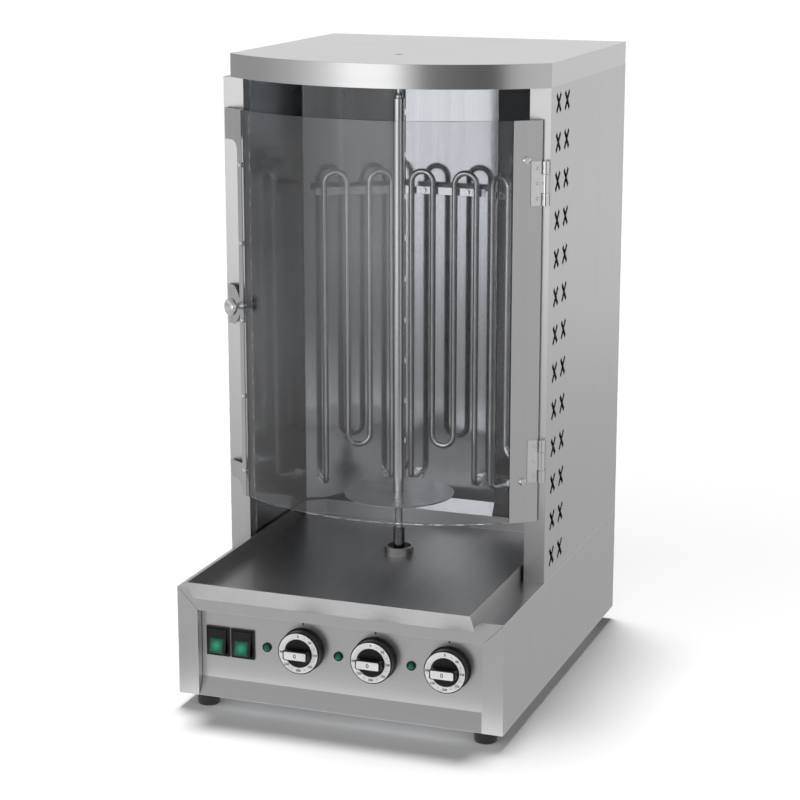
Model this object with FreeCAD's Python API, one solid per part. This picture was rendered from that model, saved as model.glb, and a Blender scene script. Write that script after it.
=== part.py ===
import FreeCAD, Part
import math
import os

# Upright electric grill oven with a turning spit. Millimetres, +Z up, +X to the right as seen
# from the front, -Y towards the user. The origin is on the table, under the middle of the box
# that holds the whole oven.

# ---------------------------------------------------------------- driving dimensions
case_width = 350.0
case_depth = 420.0
sheet = 1.2              # outer sheet steel
liner_sheet = 1.0        # polished inner sheet
foot_height = 15.0
deck_top = 130.0
cabinet_top = 636.0      # underside of the lid's flange
lid_height = 24.0
column_setback = 136.0   # from the base's front to the columns
column_width = 22.0
tray_overhang = 31.0     # the tray's lip in front of the base
gland_proud = 14.0
rail_height = 23.0
panel_recess = 10.0
apron_top = 33.0

half_width = case_width / 2
front = -(case_depth + gland_proud - tray_overhang) / 2
back = front + case_depth
column_face = front + column_setback
column_inner = half_width - column_width
lid_top = cabinet_top + lid_height
panel_face = front + panel_recess

lid_left_inset = 8.0
lid_bow = 64.0           # how far the lid's front bulges past the columns

spit_y = front + 181.5
spit_plate_height = 198.0
spit_plate_radius = 58.5
spit_tube_top = 616.5

# heating chamber, seen from above
liner_x = 152.0
liner_bottom = 149.0
reflector_corner_y = front + 289.0
reflector_back_y = front + 348.0
reflector_half = 54.0

# door
door_bottom = 197.0
door_top = 605.0
door_angle = 34.5        # half of the glass's arc, degrees
glass_radius = 256.0
glass_sheet = 4.0
door_mid_x = -2.5
glass_end_y = front + 117.0
strip_length = 29.5
hinge_x = 171.3
hinge_y = front + 131.6
hinge_height = 44.0
hinge_levels = [261.0, 543.0]
knuckle_radius = 3.0
hinge_pin_radius = 1.25
latch_level = 402.0

# controls
knob_xs = [-40.0, 38.0, 116.0]
knob_level = 75.5
lamp_xs = [-80.0, -2.0, 76.0]
lamp_level = 72.5
switch_xs = [-134.2, -106.6]
switch_level = 73.0
shaft_radius = 3.0

running_gap = 0.06


# ---------------------------------------------------------------- helpers
def vec(x, y, z):
    return FreeCAD.Vector(x, y, z)


def box(x0, x1, y0, y1, z0, z1):
    low = vec(min(x0, x1), min(y0, y1), min(z0, z1))
    return Part.makeBox(abs(x1 - x0), abs(y1 - y0), abs(z1 - z0), low)


def prism_xy(points, z0, z1):
    corners = [vec(x, y, z0) for x, y in points]
    face = Part.Face(Part.makePolygon(corners + [corners[0]]))
    return face.extrude(vec(0, 0, z1 - z0))


def prism_yz(points, x0, x1):
    corners = [vec(x0, y, z) for y, z in points]
    face = Part.Face(Part.makePolygon(corners + [corners[0]]))
    return face.extrude(vec(x1 - x0, 0, 0))


def prism_xz(points, y0, y1):
    corners = [vec(x, y0, z) for x, z in points]
    face = Part.Face(Part.makePolygon(corners + [corners[0]]))
    return face.extrude(vec(0, y1 - y0, 0))


def post(x, y, z0, z1, radius):
    """A round bar standing up."""
    return Part.makeCylinder(radius, z1 - z0, vec(x, y, z0), vec(0, 0, 1))


def rod(x, z, y0, y1, radius):
    """A round bar along Y."""
    return Part.makeCylinder(radius, y1 - y0, vec(x, y0, z), vec(0, 1, 0))


def turned(profile, x, y, z, direction):
    """A shape turned about `direction`: the profile is (radius, height along direction)."""
    corners = [vec(r, 0, h) for r, h in profile]
    face = Part.Face(Part.makePolygon(corners + [corners[0]]))
    solid = face.revolve(vec(0, 0, 0), vec(0, 0, 1), 360)
    turn = FreeCAD.Rotation(vec(0, 0, 1), direction)
    solid.Placement = FreeCAD.Placement(vec(x, y, z), turn)
    return solid


def hexagon(x, y, z, across, height, direction):
    """A hexagonal nut blank across its flats."""
    radius = across / math.sqrt(3)
    corners = []
    for i in range(6):
        angle = math.radians(60 * i)
        corners.append(vec(radius * math.cos(angle), radius * math.sin(angle), 0))
    solid = Part.Face(Part.makePolygon(corners + [corners[0]])).extrude(vec(0, 0, height))
    turn = FreeCAD.Rotation(vec(0, 0, 1), direction)
    solid.Placement = FreeCAD.Placement(vec(x, y, z), turn)
    return solid


def cross_recess(place, direction, across, width, deep):
    """Cross for a screwdriver, sunk from `place` against `direction`."""
    slots = []
    facing = FreeCAD.Rotation(vec(0, 0, 1), direction)
    for turn in (0, 90):
        slot = box(-across / 2, across / 2, -width / 2, width / 2, -deep, 3)
        spin = FreeCAD.Rotation(vec(0, 0, 1), turn)
        slot.Placement = FreeCAD.Placement(place, facing.multiply(spin))
        slots.append(slot)
    return slots


def joined(shapes):
    whole = shapes[0].multiFuse(shapes[1:]) if len(shapes) > 1 else shapes[0]
    return whole.removeSplitter()


def cut(shape, tools):
    return shape.cut(Part.makeCompound(tools))


def group(shapes):
    """Separate solids kept in one file."""
    return Part.makeCompound(shapes)


def save(name, shape):
    shape.exportStep("parts/" + name + ".step")


front_way = vec(0, -1, 0)
back_way = vec(0, 1, 0)
up_way = vec(0, 0, 1)


# ---------------------------------------------------------------- base housing
rear_screw_xs = [-166.0, 0.0, 166.0]
side_rear_screws = [150.0, 300.0, 450.0, 615.0]
rear_screw_hole = 1.65
fold_width = 15.0
base_rear_screws = [30.0, 115.0]


def rear_screw_places():
    places = []
    for side in (-1, 1):
        for level in base_rear_screws + side_rear_screws:
            places.append((side * rear_screw_xs[2], level))
    return places


def rear_screw_holes(y0, y1):
    return [rod(x, z, y0, y1, rear_screw_hole) for x, z in rear_screw_places()]


def base_side(side):
    """Outer wall with the front stile, mitred at its top, and two folded returns."""
    outer = side * half_width
    stile_inner = side * column_inner
    seam = 0.5
    wall = box(outer, outer - side * sheet, front, back, foot_height, deck_top - sheet)
    top = deck_top - sheet
    stile_points = [
        (outer, foot_height),
        (stile_inner, foot_height),
        (stile_inner, deck_top - column_width - seam),
        (outer - side * (deck_top - seam - top), top),
        (outer, top),
    ]
    stile = prism_xz(stile_points, front, front + sheet)
    panel_return = box(
        stile_inner, stile_inner + side * sheet, front, panel_face + 4, foot_height + sheet + 0.3,
        deck_top - rail_height - 2,
    )
    rear_fold = box(
        outer, outer - side * fold_width, back - 2 * sheet, back - sheet, foot_height + 2, top
    )
    body = joined([wall, stile, panel_return, rear_fold])
    return cut(body, rear_screw_holes(back - 5, back - 0.5) + [rear_panel_space()])


def rear_panel_space():
    """Room that the rear panels take between the side walls."""
    return box(
        -half_width + sheet, half_width - sheet, back - sheet, back + 1, foot_height, cabinet_top
    )


def deck_plate():
    """Top of the base, folded down in front as the mitred rail."""
    plate = box(-half_width, half_width, front, back, deck_top - sheet, deck_top)
    rail_points = [
        (-half_width, deck_top),
        (half_width, deck_top),
        (column_inner, deck_top - column_width),
        (column_inner, deck_top - rail_height),
        (-column_inner, deck_top - rail_height),
        (-column_inner, deck_top - column_width),
    ]
    rail = prism_xz(rail_points, front, front + sheet)
    rail_fold = box(
        -column_inner + 2, column_inner - 2, front, panel_face - 0.5,
        deck_top - rail_height, deck_top - rail_height + sheet,
    )
    wiring_hole = box(
        -70, 70, reflector_back_y + 14, reflector_back_y + 54, deck_top - 5, deck_top + 5
    )
    bush_hole = post(0, spit_y, deck_top - 5, deck_top + 5, bush_radius + 0.05)
    bracket_holes = [
        post(x, y, deck_top - 5, deck_top + 5, stud_hole) for x, y in bracket_screw_places()
    ]
    return cut(joined([plate, rail, rail_fold]), [wiring_hole, bush_hole] + bracket_holes)


foot_x = 151.0
foot_ys = [front + 20.0, back - 20.0]


def foot_places():
    return [(side * foot_x, y) for side in (-1, 1) for y in foot_ys]


def bottom_plate():
    z0 = foot_height
    plate = box(-half_width + sheet + 0.2, half_width - sheet - 0.2, front + 3.2, back - 2.6,
                z0, z0 + sheet)
    holes = [post(x, y, z0 - 1, z0 + 3, 2.3) for x, y in foot_places()]
    for row in range(3):
        for column in range(8):
            x = -98 + column * 28
            y = front + 150 + row * 70
            holes.append(box(x - 3, x + 3, y - 22, y + 22, z0 - 1, z0 + 3))
    return cut(plate, holes)


def rubber_feet():
    feet = []
    for x, y in foot_places():
        foot = turned(
            [(2.2, 5.5), (4.2, 5.5), (4.2, 0), (10.6, 0), (11.4, 0.9), (12.4, foot_height),
             (2.2, foot_height)],
            x, y, 0, up_way,
        )
        feet.append(foot)
    return group(feet)


def foot_screws():
    screws = []
    for x, y in foot_places():
        head = turned(
            [(0, 3.2), (3.3, 3.2), (3.8, 3.9), (3.8, 5.5), (2.0, 5.5), (2.0, 24), (0, 24)],
            x, y, 0, up_way,
        )
        screws.append(head)
        nut = hexagon(x, y, foot_height + sheet, 7.0, 3.2, up_way)
        screws.append(cut(nut, [post(x, y, foot_height, foot_height + 8, 2.05)]))
    return group(screws)


gland_x = -110.0
gland_level = 50.0
gland_bore = 4.5


def base_rear_panel():
    z0 = foot_height + 1.4
    z1 = deck_top - sheet - 0.2
    panel = box(-half_width + sheet + 0.3, half_width - sheet - 0.3, back - sheet, back, z0, z1)
    holes = [rod(x, z, back - 5, back + 5, rear_screw_hole)
             for x, z in rear_screw_places() if z < z1]
    holes.append(rod(gland_x, gland_level, back - 5, back + 5, 8.1))
    for column in range(9):
        x = -32 + column * 20
        holes.append(box(x - 2.5, x + 2.5, back - 5, back + 5, 42, 100))
    return cut(panel, holes)


def cable_gland():
    """Screwed cable entry: flange nut outside, lock nut inside, open bore for a lead."""
    inside = back - sheet - 14
    body = turned([(0, 0), (7.9, 0), (7.9, back - inside), (0, back - inside)],
                  gland_x, inside, gland_level, back_way)
    flange = hexagon(gland_x, back, gland_level, 19.0, 5.0, back_way)
    dome = turned([(0, 5), (7.8, 5), (7.8, 10), (6.2, gland_proud), (0, gland_proud)],
                  gland_x, back, gland_level, back_way)
    lock_nut = hexagon(gland_x, back - sheet - 4.5, gland_level, 20.0, 4.5, back_way)
    bore = rod(gland_x, gland_level, inside - 1, back + gland_proud + 1, gland_bore)
    return cut(joined([body, flange, dome, lock_nut]), [bore])


def control_panel():
    """Recessed front panel with a sloping apron under it."""
    half = column_inner - 0.4
    top = deck_top - rail_height - 0.4
    face = box(-half, half, panel_face, panel_face + sheet, apron_top, top)
    apron_points = [
        (panel_face, apron_top),
        (front + 0.6, foot_height),
        (front + 0.6 + 1.35, foot_height),
        (panel_face + sheet, apron_top - 0.9),
        (panel_face + sheet, apron_top + 1),
        (panel_face, apron_top + 1),
    ]
    apron = prism_yz(apron_points, -half, half)
    folds = [
        box(side * half, side * (half - sheet), panel_face, front + 25, apron_top, top)
        for side in (-1, 1)
    ]
    holes = [rod(x, lamp_level, panel_face - 3, panel_face + 5, 4.1) for x in lamp_xs]
    holes += [rod(x, knob_level, panel_face - 3, panel_face + 5, 4.9) for x in knob_xs]
    for x in switch_xs:
        holes.append(box(x - 11.2, x + 11.2, panel_face - 3, panel_face + 5,
                         switch_level - 14.2, switch_level + 14.2))
    return cut(joined([face, apron] + folds), holes)


# ---------------------------------------------------------------- upper cabinet
vent_rows = 13
vent_columns = [front + 161.5, front + 191.5]
vent_first = 152.5
vent_pitch = 38.9
vent_stroke = 5.4
vent_length = 23.5
vent_lean = 40.0


def vent_cross(y, z, x0, x1):
    """Two slots that cross in an X."""
    strokes = []
    for lean in (-vent_lean, vent_lean):
        stroke = box(x0, x1, -vent_stroke / 2, vent_stroke / 2, -vent_length / 2, vent_length / 2)
        turn = FreeCAD.Rotation(vec(1, 0, 0), lean)
        stroke.Placement = FreeCAD.Placement(vec(0, y, z), turn)
        strokes.append(stroke)
    return strokes


def side_panel(side):
    """Cabinet side with its front column, folds and two rows of crossed vents."""
    outer = side * half_width
    wall = box(outer, outer - side * sheet, column_face, back, deck_top, cabinet_top)
    column = box(outer, side * column_inner, column_face, column_face + sheet, deck_top,
                 cabinet_top)
    inner_fold = box(side * (column_inner + sheet), side * column_inner, column_face,
                     column_face + fold_width, deck_top, cabinet_top)
    top_fold = box(outer, outer - side * fold_width, column_face, back, cabinet_top - sheet,
                   cabinet_top)
    rear_fold = box(outer, outer - side * fold_width, back - 2 * sheet, back - sheet, deck_top,
                    cabinet_top)
    tools = rear_screw_holes(back - 5, back - 0.5) + [rear_panel_space()]
    for y in vent_columns:
        for row in range(vent_rows):
            z = vent_first + row * vent_pitch
            tools += vent_cross(y, z, outer - side * 4, outer + side * 4)
    return cut(joined([wall, column, inner_fold, top_fold, rear_fold]), tools)


def rear_cover():
    z0 = deck_top + 0.3
    z1 = cabinet_top - 0.3
    panel = box(-half_width + sheet + 0.3, half_width - sheet - 0.3, back - sheet, back, z0, z1)
    holes = [rod(x, z, back - 5, back + 5, rear_screw_hole)
             for x, z in rear_screw_places() if z > z0]
    for side in (-1, 1):
        for row in range(9):
            z = 190 + row * 48
            holes.append(box(side * 50, side * 120, back - 5, back + 5, z - 3, z + 3))
    return cut(panel, holes)


def case_screws():
    screws = []
    for x, z in rear_screw_places():
        screw = turned(
            [(0, -6), (1.6, -6), (1.6, 0), (3.4, 0), (3.2, 1.1), (2.0, 1.9), (0, 1.9)],
            x, back, z, back_way,
        )
        recess = cross_recess(vec(x, back + 1.9, z), back_way, 3.4, 0.8, 1.2)
        screws.append(cut(screw, recess))
    return group(screws)


def lid_outline(inset, z):
    """Flat outline with straight sides and a bowed front, moved in by `inset`."""
    left = -half_width + lid_left_inset + inset
    right = half_width - inset
    middle = (left + right) / 2
    y_back = back - inset
    y_front = column_face + inset * 0.6
    corner_fl = vec(left, y_front, z)
    corner_fr = vec(right, y_front, z)
    corner_bl = vec(left, y_back, z)
    corner_br = vec(right, y_back, z)
    nose = vec(middle, column_face - lid_bow + inset, z)
    edges = [
        Part.LineSegment(corner_fr, corner_br).toShape(),
        Part.LineSegment(corner_br, corner_bl).toShape(),
        Part.LineSegment(corner_bl, corner_fl).toShape(),
        Part.Arc(corner_fl, nose, corner_fr).toShape(),
    ]
    return Part.Face(Part.Wire(edges))


def top_cap():
    outer = lid_outline(0, cabinet_top).extrude(vec(0, 0, lid_height))
    inner = lid_outline(sheet, cabinet_top - 1).extrude(vec(0, 0, lid_height - sheet + 1))
    return cut(outer, [inner, post(0, spit_y, lid_top - 5, lid_top + 5, 4.0)])


def ceiling_plate():
    plate = lid_outline(sheet + 0.3, cabinet_top).extrude(vec(0, 0, sheet))
    return cut(plate, [post(0, spit_y, cabinet_top - 2, cabinet_top + 4, 6.1)])


def top_bush():
    return turned(
        [(pin_radius + running_gap, -9), (8, -9), (9, -8), (9, 0), (6.0, 0), (6.0, 6),
         (pin_radius + running_gap, 6)],
        0, spit_y, cabinet_top, up_way,
    )


# ---------------------------------------------------------------- heating chamber
splay_run = liner_x - reflector_half
splay_rise = reflector_back_y - reflector_corner_y
splay_angle = math.degrees(math.atan2(splay_rise, splay_run))
splay_length = math.hypot(splay_run, splay_rise)
element_pitch = 25.0
element_radius = 3.25
element_standoff = 25.0
element_top = 525.0
element_bend_low = 211.5
element_end = 172.0
element_bar_level = 500.5


def side_liner(side):
    inner = side * liner_x
    wall = box(inner, inner + side * 0.8, column_face + fold_width + 0.2, reflector_corner_y,
               liner_bottom, cabinet_top - 0.3)
    return wall


def reflector_frames():
    """Where each reflector stands: name, middle of its face, turn about Z, half length."""
    middle_x = (liner_x + reflector_half) / 2
    middle_y = (reflector_corner_y + reflector_back_y) / 2
    half = splay_length / 2
    return [
        ("left", -middle_x, middle_y, splay_angle, half),
        ("centre", 0, reflector_back_y, 0, reflector_half),
        ("right", middle_x, middle_y, -splay_angle, half),
    ]


def stand(shape, x, y, angle):
    """Turns a shape made around the origin and stands it at its reflector."""
    placed = shape.copy()
    placed.Placement = FreeCAD.Placement(vec(x, y, 0), FreeCAD.Rotation(up_way, angle))
    return placed


def reflector(name, half):
    """Polished sheet whose front face is the plane y = 0."""
    trim = 0.5
    plate = box(-half + trim, half - trim, 0, liner_sheet, liner_bottom - 2, cabinet_top - 0.3)
    if name == "centre":
        kick = prism_yz(
            [(0, liner_bottom - 2), (-10, deck_top + 0.5), (-8.8, deck_top + 0.5),
             (liner_sheet, liner_bottom - 2)],
            -half + trim, half - trim,
        )
        plate = joined([plate, kick])
    holes = [rod(side * 1.5 * element_pitch, element_end, -3, 5, 5.1) for side in (-1, 1)]
    holes += [rod(x, element_bar_level, -3, 5, 2.1) for x in bar_pin_xs]
    return cut(plate, holes)


bar_pin_xs = [-25.0, 25.0]


def element():
    """M-shaped sheathed heater in front of the plane y = 0, its ends turned back through it."""
    outer = 1.5 * element_pitch
    inner = 0.5 * element_pitch
    bend = element_pitch / 2
    y = -element_standoff
    corner = 9.0
    top = element_top - element_radius - bend
    low = element_bend_low + element_radius + bend
    slant = corner * (1 - math.sqrt(0.5))

    def line(a, b):
        return Part.LineSegment(a, b).toShape()

    def arc(a, b, c):
        return Part.Arc(a, b, c).toShape()

    edges = [
        line(vec(-outer, 18, element_end), vec(-outer, y + corner, element_end)),
        arc(vec(-outer, y + corner, element_end), vec(-outer, y + slant, element_end + slant),
            vec(-outer, y, element_end + corner)),
        line(vec(-outer, y, element_end + corner), vec(-outer, y, top)),
        arc(vec(-outer, y, top), vec(-element_pitch, y, top + bend), vec(-inner, y, top)),
        line(vec(-inner, y, top), vec(-inner, y, low)),
        arc(vec(-inner, y, low), vec(0, y, low - bend), vec(inner, y, low)),
        line(vec(inner, y, low), vec(inner, y, top)),
        arc(vec(inner, y, top), vec(element_pitch, y, top + bend), vec(outer, y, top)),
        line(vec(outer, y, top), vec(outer, y, element_end + corner)),
        arc(vec(outer, y, element_end + corner), vec(outer, y + slant, element_end + slant),
            vec(outer, y + corner, element_end)),
        line(vec(outer, y + corner, element_end), vec(outer, 18, element_end)),
    ]
    path = Part.Wire(edges)
    ring = Part.Wire(Part.Circle(vec(-outer, 18, element_end), back_way, element_radius).toShape())
    return path.makePipeShell([ring], True, True)


def element_bar():
    """Flat bar behind the heater's legs, held off the reflector by two pins with heads."""
    y = -element_standoff + element_radius + 0.6
    bar = box(-46, 46, y, y + 1.4, element_bar_level - 4, element_bar_level + 4)
    pins = [rod(x, element_bar_level, y, 3, 2.0) for x in bar_pin_xs]
    heads = [rod(x, element_bar_level, y - 2.2, y, 3.2) for x in bar_pin_xs]
    return joined([bar] + pins + heads)


def element_bushes_at_reflector():
    bushes = []
    for side in (-1, 1):
        x = side * 1.5 * element_pitch
        hole = rod(x, element_end, -8, 16, element_radius + 0.1)
        nut = hexagon(x, -4.2, element_end, 12.0, 4.0, back_way)
        sleeve = rod(x, element_end, liner_sheet + 0.2, 12, 6.0)
        bushes.append(cut(nut, [hole]))
        bushes.append(cut(sleeve, [hole]))
    return group(bushes)


# ---------------------------------------------------------------- door
def door_frame(side):
    """End of the glass's arc, the way the flat strip runs on, and its outward normal."""
    turn = math.radians(door_angle)
    end_x = door_mid_x + side * glass_radius * math.sin(turn)
    along = vec(side * math.cos(turn), math.sin(turn), 0)
    outward = vec(side * math.sin(turn), -math.cos(turn), 0)
    return vec(end_x, glass_end_y, 0), along, outward


def on_strip(side, along_mm, out_mm, z):
    end, along, outward = door_frame(side)
    return end + along * along_mm + outward * out_mm + vec(0, 0, z)


rivet_levels = [224.0, 305.0, 386.0, 467.0, 548.0]
rivet_along = 3.4
strip_screw_levels = [240.0, 566.0]
strip_screw_along = 13.5
hinge_rivet_along = 24.6
hinge_rivet_levels = [z + dz for z in hinge_levels for dz in (-15.0, 0.0, 15.0)]


def pierce(side, along_mm, z, radius):
    """A drill through the strip and the glass."""
    outward = door_frame(side)[2]
    return Part.makeCylinder(radius, 12, on_strip(side, along_mm, -7, z), outward)


def door_drills():
    drills = [pierce(-1, rivet_along, z, 1.75) for z in rivet_levels]
    drills += [pierce(1, strip_screw_along, z, 2.1) for z in strip_screw_levels]
    drills += [pierce(1, hinge_rivet_along, z, 1.25) for z in hinge_rivet_levels]
    drills.append(pierce(-1, knob_along, latch_level, 2.6))
    return drills


def door_glass():
    """Bent tinted pane with short flat tails under the two steel strips."""
    tail_right = 21.0
    tail_left = 7.0
    centre_y = glass_end_y + glass_radius * math.cos(math.radians(door_angle))
    z = door_bottom
    outer_l = on_strip(-1, 0, 0, z)
    outer_r = on_strip(1, 0, 0, z)
    inner_l = on_strip(-1, 0, -glass_sheet, z)
    inner_r = on_strip(1, 0, -glass_sheet, z)
    far_l = [on_strip(-1, tail_left, 0, z), on_strip(-1, tail_left, -glass_sheet, z)]
    far_r = [on_strip(1, tail_right, 0, z), on_strip(1, tail_right, -glass_sheet, z)]
    outer_nose = vec(door_mid_x, centre_y - glass_radius, z)
    inner_nose = vec(door_mid_x, centre_y - glass_radius + glass_sheet, z)
    edges = [
        Part.Arc(outer_l, outer_nose, outer_r).toShape(),
        Part.LineSegment(outer_r, far_r[0]).toShape(),
        Part.LineSegment(far_r[0], far_r[1]).toShape(),
        Part.LineSegment(far_r[1], inner_r).toShape(),
        Part.Arc(inner_r, inner_nose, inner_l).toShape(),
        Part.LineSegment(inner_l, far_l[1]).toShape(),
        Part.LineSegment(far_l[1], far_l[0]).toShape(),
        Part.LineSegment(far_l[0], outer_l).toShape(),
    ]
    pane = Part.Face(Part.Wire(edges)).extrude(vec(0, 0, door_top - door_bottom))
    return cut(pane, door_drills())


def strip_plate(side, a0, a1, z0, z1, thickness, base=0.0):
    """A flat plate lying on the glass's outer face."""
    points = [
        on_strip(side, a0, base, z0),
        on_strip(side, a1, base, z0),
        on_strip(side, a1, base + thickness, z0),
        on_strip(side, a0, base + thickness, z0),
    ]
    face = Part.Face(Part.makePolygon(points + [points[0]]))
    return face.extrude(vec(0, 0, z1 - z0))


def door_hinge_strip():
    plate = strip_plate(1, 0, strip_length, door_bottom, door_top, sheet)
    return cut(plate, door_drills())


tab_length = 30.0
spine_width = 7.0
knob_along = 3.5


def strip_drill(along_mm, z, radius):
    outward = door_frame(-1)[2]
    return Part.makeCylinder(radius, sheet, on_strip(-1, along_mm, 0, z), outward)


def door_latch_strip():
    """Narrow spine along the glass with three tabs that rest in front of the column."""
    spine = strip_plate(-1, 0, spine_width, door_bottom, door_top, sheet)
    top_tab = strip_plate(-1, 0, tab_length, door_top - 32, door_top, sheet)
    low_tab = strip_plate(-1, 0, tab_length, door_bottom + 16, door_bottom + 34, sheet)
    pieces = [spine, top_tab, low_tab]
    for z, radius in ((door_top - 32, 10.0), (door_bottom + 16, 14.0)):
        gusset = strip_plate(-1, spine_width - 1, spine_width + radius, z - radius, z + 0.5, sheet)
        pieces.append(gusset.cut(strip_drill(spine_width + radius, z - radius, radius)))
    disc = strip_drill(tab_length - 1, latch_level - 1.5, 23.0)
    window = strip_plate(-1, 1, tab_length, latch_level - 22, latch_level + 19, sheet)
    pieces.append(disc.common(window))
    return cut(joined(pieces), door_drills())


def door_knob():
    """Round pull knob on a short neck, with its screw through the strip and the glass."""
    outward = door_frame(-1)[2]
    base = on_strip(-1, knob_along, sheet, latch_level)
    profile = [(0, 0), (4.6, 0), (4.0, 1.2), (3.6, 6.0), (4.4, 8.4), (8.4, 9.6), (9.7, 11.4),
               (9.8, 13.6), (8.6, 15.8), (5.5, 17.2), (0, 17.6)]
    head = turned(profile, base.x, base.y, base.z, outward)
    deep = sheet + glass_sheet
    stem = Part.makeCylinder(2.5, deep + 0.2, base - outward * deep, outward)
    washer = Part.makeCylinder(4.2, 0.9, base - outward * (deep + 0.9), outward)
    return joined([head, stem, washer])


def door_rivets():
    rivets = []
    outward = door_frame(-1)[2]
    for z in rivet_levels:
        base = on_strip(-1, rivet_along, sheet, z)
        deep = -sheet - glass_sheet
        rivets.append(turned(
            [(0, deep - 1.2), (2.4, deep - 1.0), (2.8, deep), (1.7, deep), (1.7, 0), (2.9, 0),
             (2.5, 0.9), (1.2, 1.5), (0, 1.6)],
            base.x, base.y, base.z, outward,
        ))
    return group(rivets)


def strip_screws():
    screws = []
    outward = door_frame(1)[2]
    deep = -sheet - glass_sheet
    for z in strip_screw_levels:
        base = on_strip(1, strip_screw_along, sheet, z)
        screw = turned(
            [(0, deep - 2.6), (3.6, deep - 2.6), (3.6, deep), (2.0, deep), (2.0, 0), (4.2, 0),
             (3.9, 1.1), (2.4, 2.1), (0, 2.3)],
            base.x, base.y, base.z, outward,
        )
        recess = cross_recess(base + outward * 2.3, outward, 4.6, 1.0, 1.5)
        screws.append(cut(screw, recess))
    return group(screws)


# ---------------------------------------------------------------- hinges
knuckle_share = 12.3     # each fixed knuckle's height, at the top and bottom of a hinge
knuckle_gap = 0.4


def hinge_bore(z):
    half = hinge_height / 2
    return post(hinge_x, hinge_y, z - half - 2, z + half + 2, hinge_pin_radius + 0.05)


def hinge_fixed_leaves():
    leaves = []
    half = hinge_height / 2
    for z in hinge_levels:
        plate = box(169.4, half_width - 0.2, column_face - 0.6, column_face, z - half, z + half)
        pieces = [plate]
        for z0 in (z - half, z + half - knuckle_share):
            z1 = z0 + knuckle_share
            pieces.append(post(hinge_x, hinge_y, z0, z1, knuckle_radius))
            pieces.append(box(hinge_x, hinge_x + knuckle_radius, hinge_y, column_face - 0.5,
                              z0, z1))
        leaves.append(cut(joined(pieces), [hinge_bore(z)]))
    return group(leaves)


def hinge_moving_leaves():
    leaves = []
    half = hinge_height / 2
    for z in hinge_levels:
        low = z - half + knuckle_share + knuckle_gap
        high = z + half - knuckle_share - knuckle_gap
        plate = strip_plate(1, 18, 28, z - half, z + half, 1.0, sheet)
        tongue = strip_plate(1, 27, 32, low, high, 1.0, sheet)
        knuckle = post(hinge_x, hinge_y, low, high, knuckle_radius)
        leaf = joined([plate, tongue, knuckle])
        leaves.append(cut(leaf, [hinge_bore(z)] + door_drills()))
    return group(leaves)


def hinge_rivets():
    rivets = []
    outward = door_frame(1)[2]
    deep = -sheet - 1.0
    for z in hinge_rivet_levels:
        base = on_strip(1, hinge_rivet_along, sheet + 1.0, z)
        rivets.append(turned(
            [(0, deep - 0.7), (1.8, deep - 0.6), (2.0, deep), (1.2, deep), (1.2, 0), (1.9, 0),
             (1.7, 0.5), (0.9, 0.85), (0, 0.9)],
            base.x, base.y, base.z, outward,
        ))
    return group(rivets)


def hinge_pins():
    pins = []
    half = hinge_height / 2
    for z in hinge_levels:
        pins.append(turned(
            [(0, -half - 0.9), (1.8, -half - 0.6), (1.8, -half - 0.05),
             (hinge_pin_radius, -half - 0.05), (hinge_pin_radius, half + 0.05),
             (1.8, half + 0.05), (1.8, half + 0.6), (0, half + 0.9)],
            hinge_x, hinge_y, z, up_way,
        ))
    return group(pins)


# ---------------------------------------------------------------- spit and its drive
pin_radius = 2.5
spit_rod_radius = 4.0
drive_shaft_radius = 4.0
bush_radius = 9.0
coupling_bottom = 137.5
coupling_top = 160.0


def spit_rod():
    """Core rod from the coupling up through the tube, thinner where it enters the top bush."""
    return turned(
        [(0, coupling_bottom + 5), (spit_rod_radius, coupling_bottom + 5),
         (spit_rod_radius, spit_tube_top + 2), (pin_radius, spit_tube_top + 5),
         (pin_radius, lid_top - 1.6), (pin_radius - 0.8, lid_top - 0.8), (0, lid_top - 0.8)],
        0, spit_y, 0, up_way,
    )


def spit_tube():
    return turned(
        [(spit_rod_radius + 0.05, spit_plate_height + 1.6), (6.0, spit_plate_height + 1.6),
         (6.0, spit_tube_top - 1), (5.4, spit_tube_top), (spit_rod_radius + 0.05, spit_tube_top)],
        0, spit_y, 0, up_way,
    )


def spit_plate():
    """Round meat plate with a small hub under it."""
    z = spit_plate_height
    return turned(
        [(spit_rod_radius + 0.05, z - 9), (7.5, z - 9), (7.5, z), (spit_plate_radius - 0.6, z),
         (spit_plate_radius, z + 0.5), (spit_plate_radius, z + 1.0),
         (spit_plate_radius - 0.6, z + 1.5), (spit_rod_radius + 0.05, z + 1.5)],
        0, spit_y, 0, up_way,
    )


def drive_coupling():
    return turned(
        [(spit_rod_radius + 0.05, coupling_bottom), (6.2, coupling_bottom),
         (6.2, coupling_top - 1), (5.4, coupling_top), (spit_rod_radius + 0.05, coupling_top)],
        0, spit_y, 0, up_way,
    )


def output_shaft():
    return post(0, spit_y, 100, coupling_bottom + 4.5, drive_shaft_radius)


def deck_bush():
    bore = drive_shaft_radius + running_gap
    return turned(
        [(bore, deck_top - 4), (bush_radius, deck_top - 4), (bush_radius, deck_top),
         (11, deck_top), (11, deck_top + 1.4), (10, deck_top + 2), (bore, deck_top + 2)],
        0, spit_y, 0, up_way,
    )


bracket_thickness = 2.6
stud_nut = 3.2
stud_hole = 2.1


def bracket_screw_places():
    return [(x, spit_y + y) for x in (-38, 38) for y in (-30, 30)]


def motor_bracket():
    top = deck_top - sheet
    plate = box(-46, 46, spit_y - 38, spit_y + 38, top - bracket_thickness, top)
    holes = [post(0, spit_y, top - 5, top + 2, bush_radius + 0.05)]
    holes += [post(x, y, top - 5, top + 2, stud_hole) for x, y in bracket_screw_places()]
    return cut(plate, holes)


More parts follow.
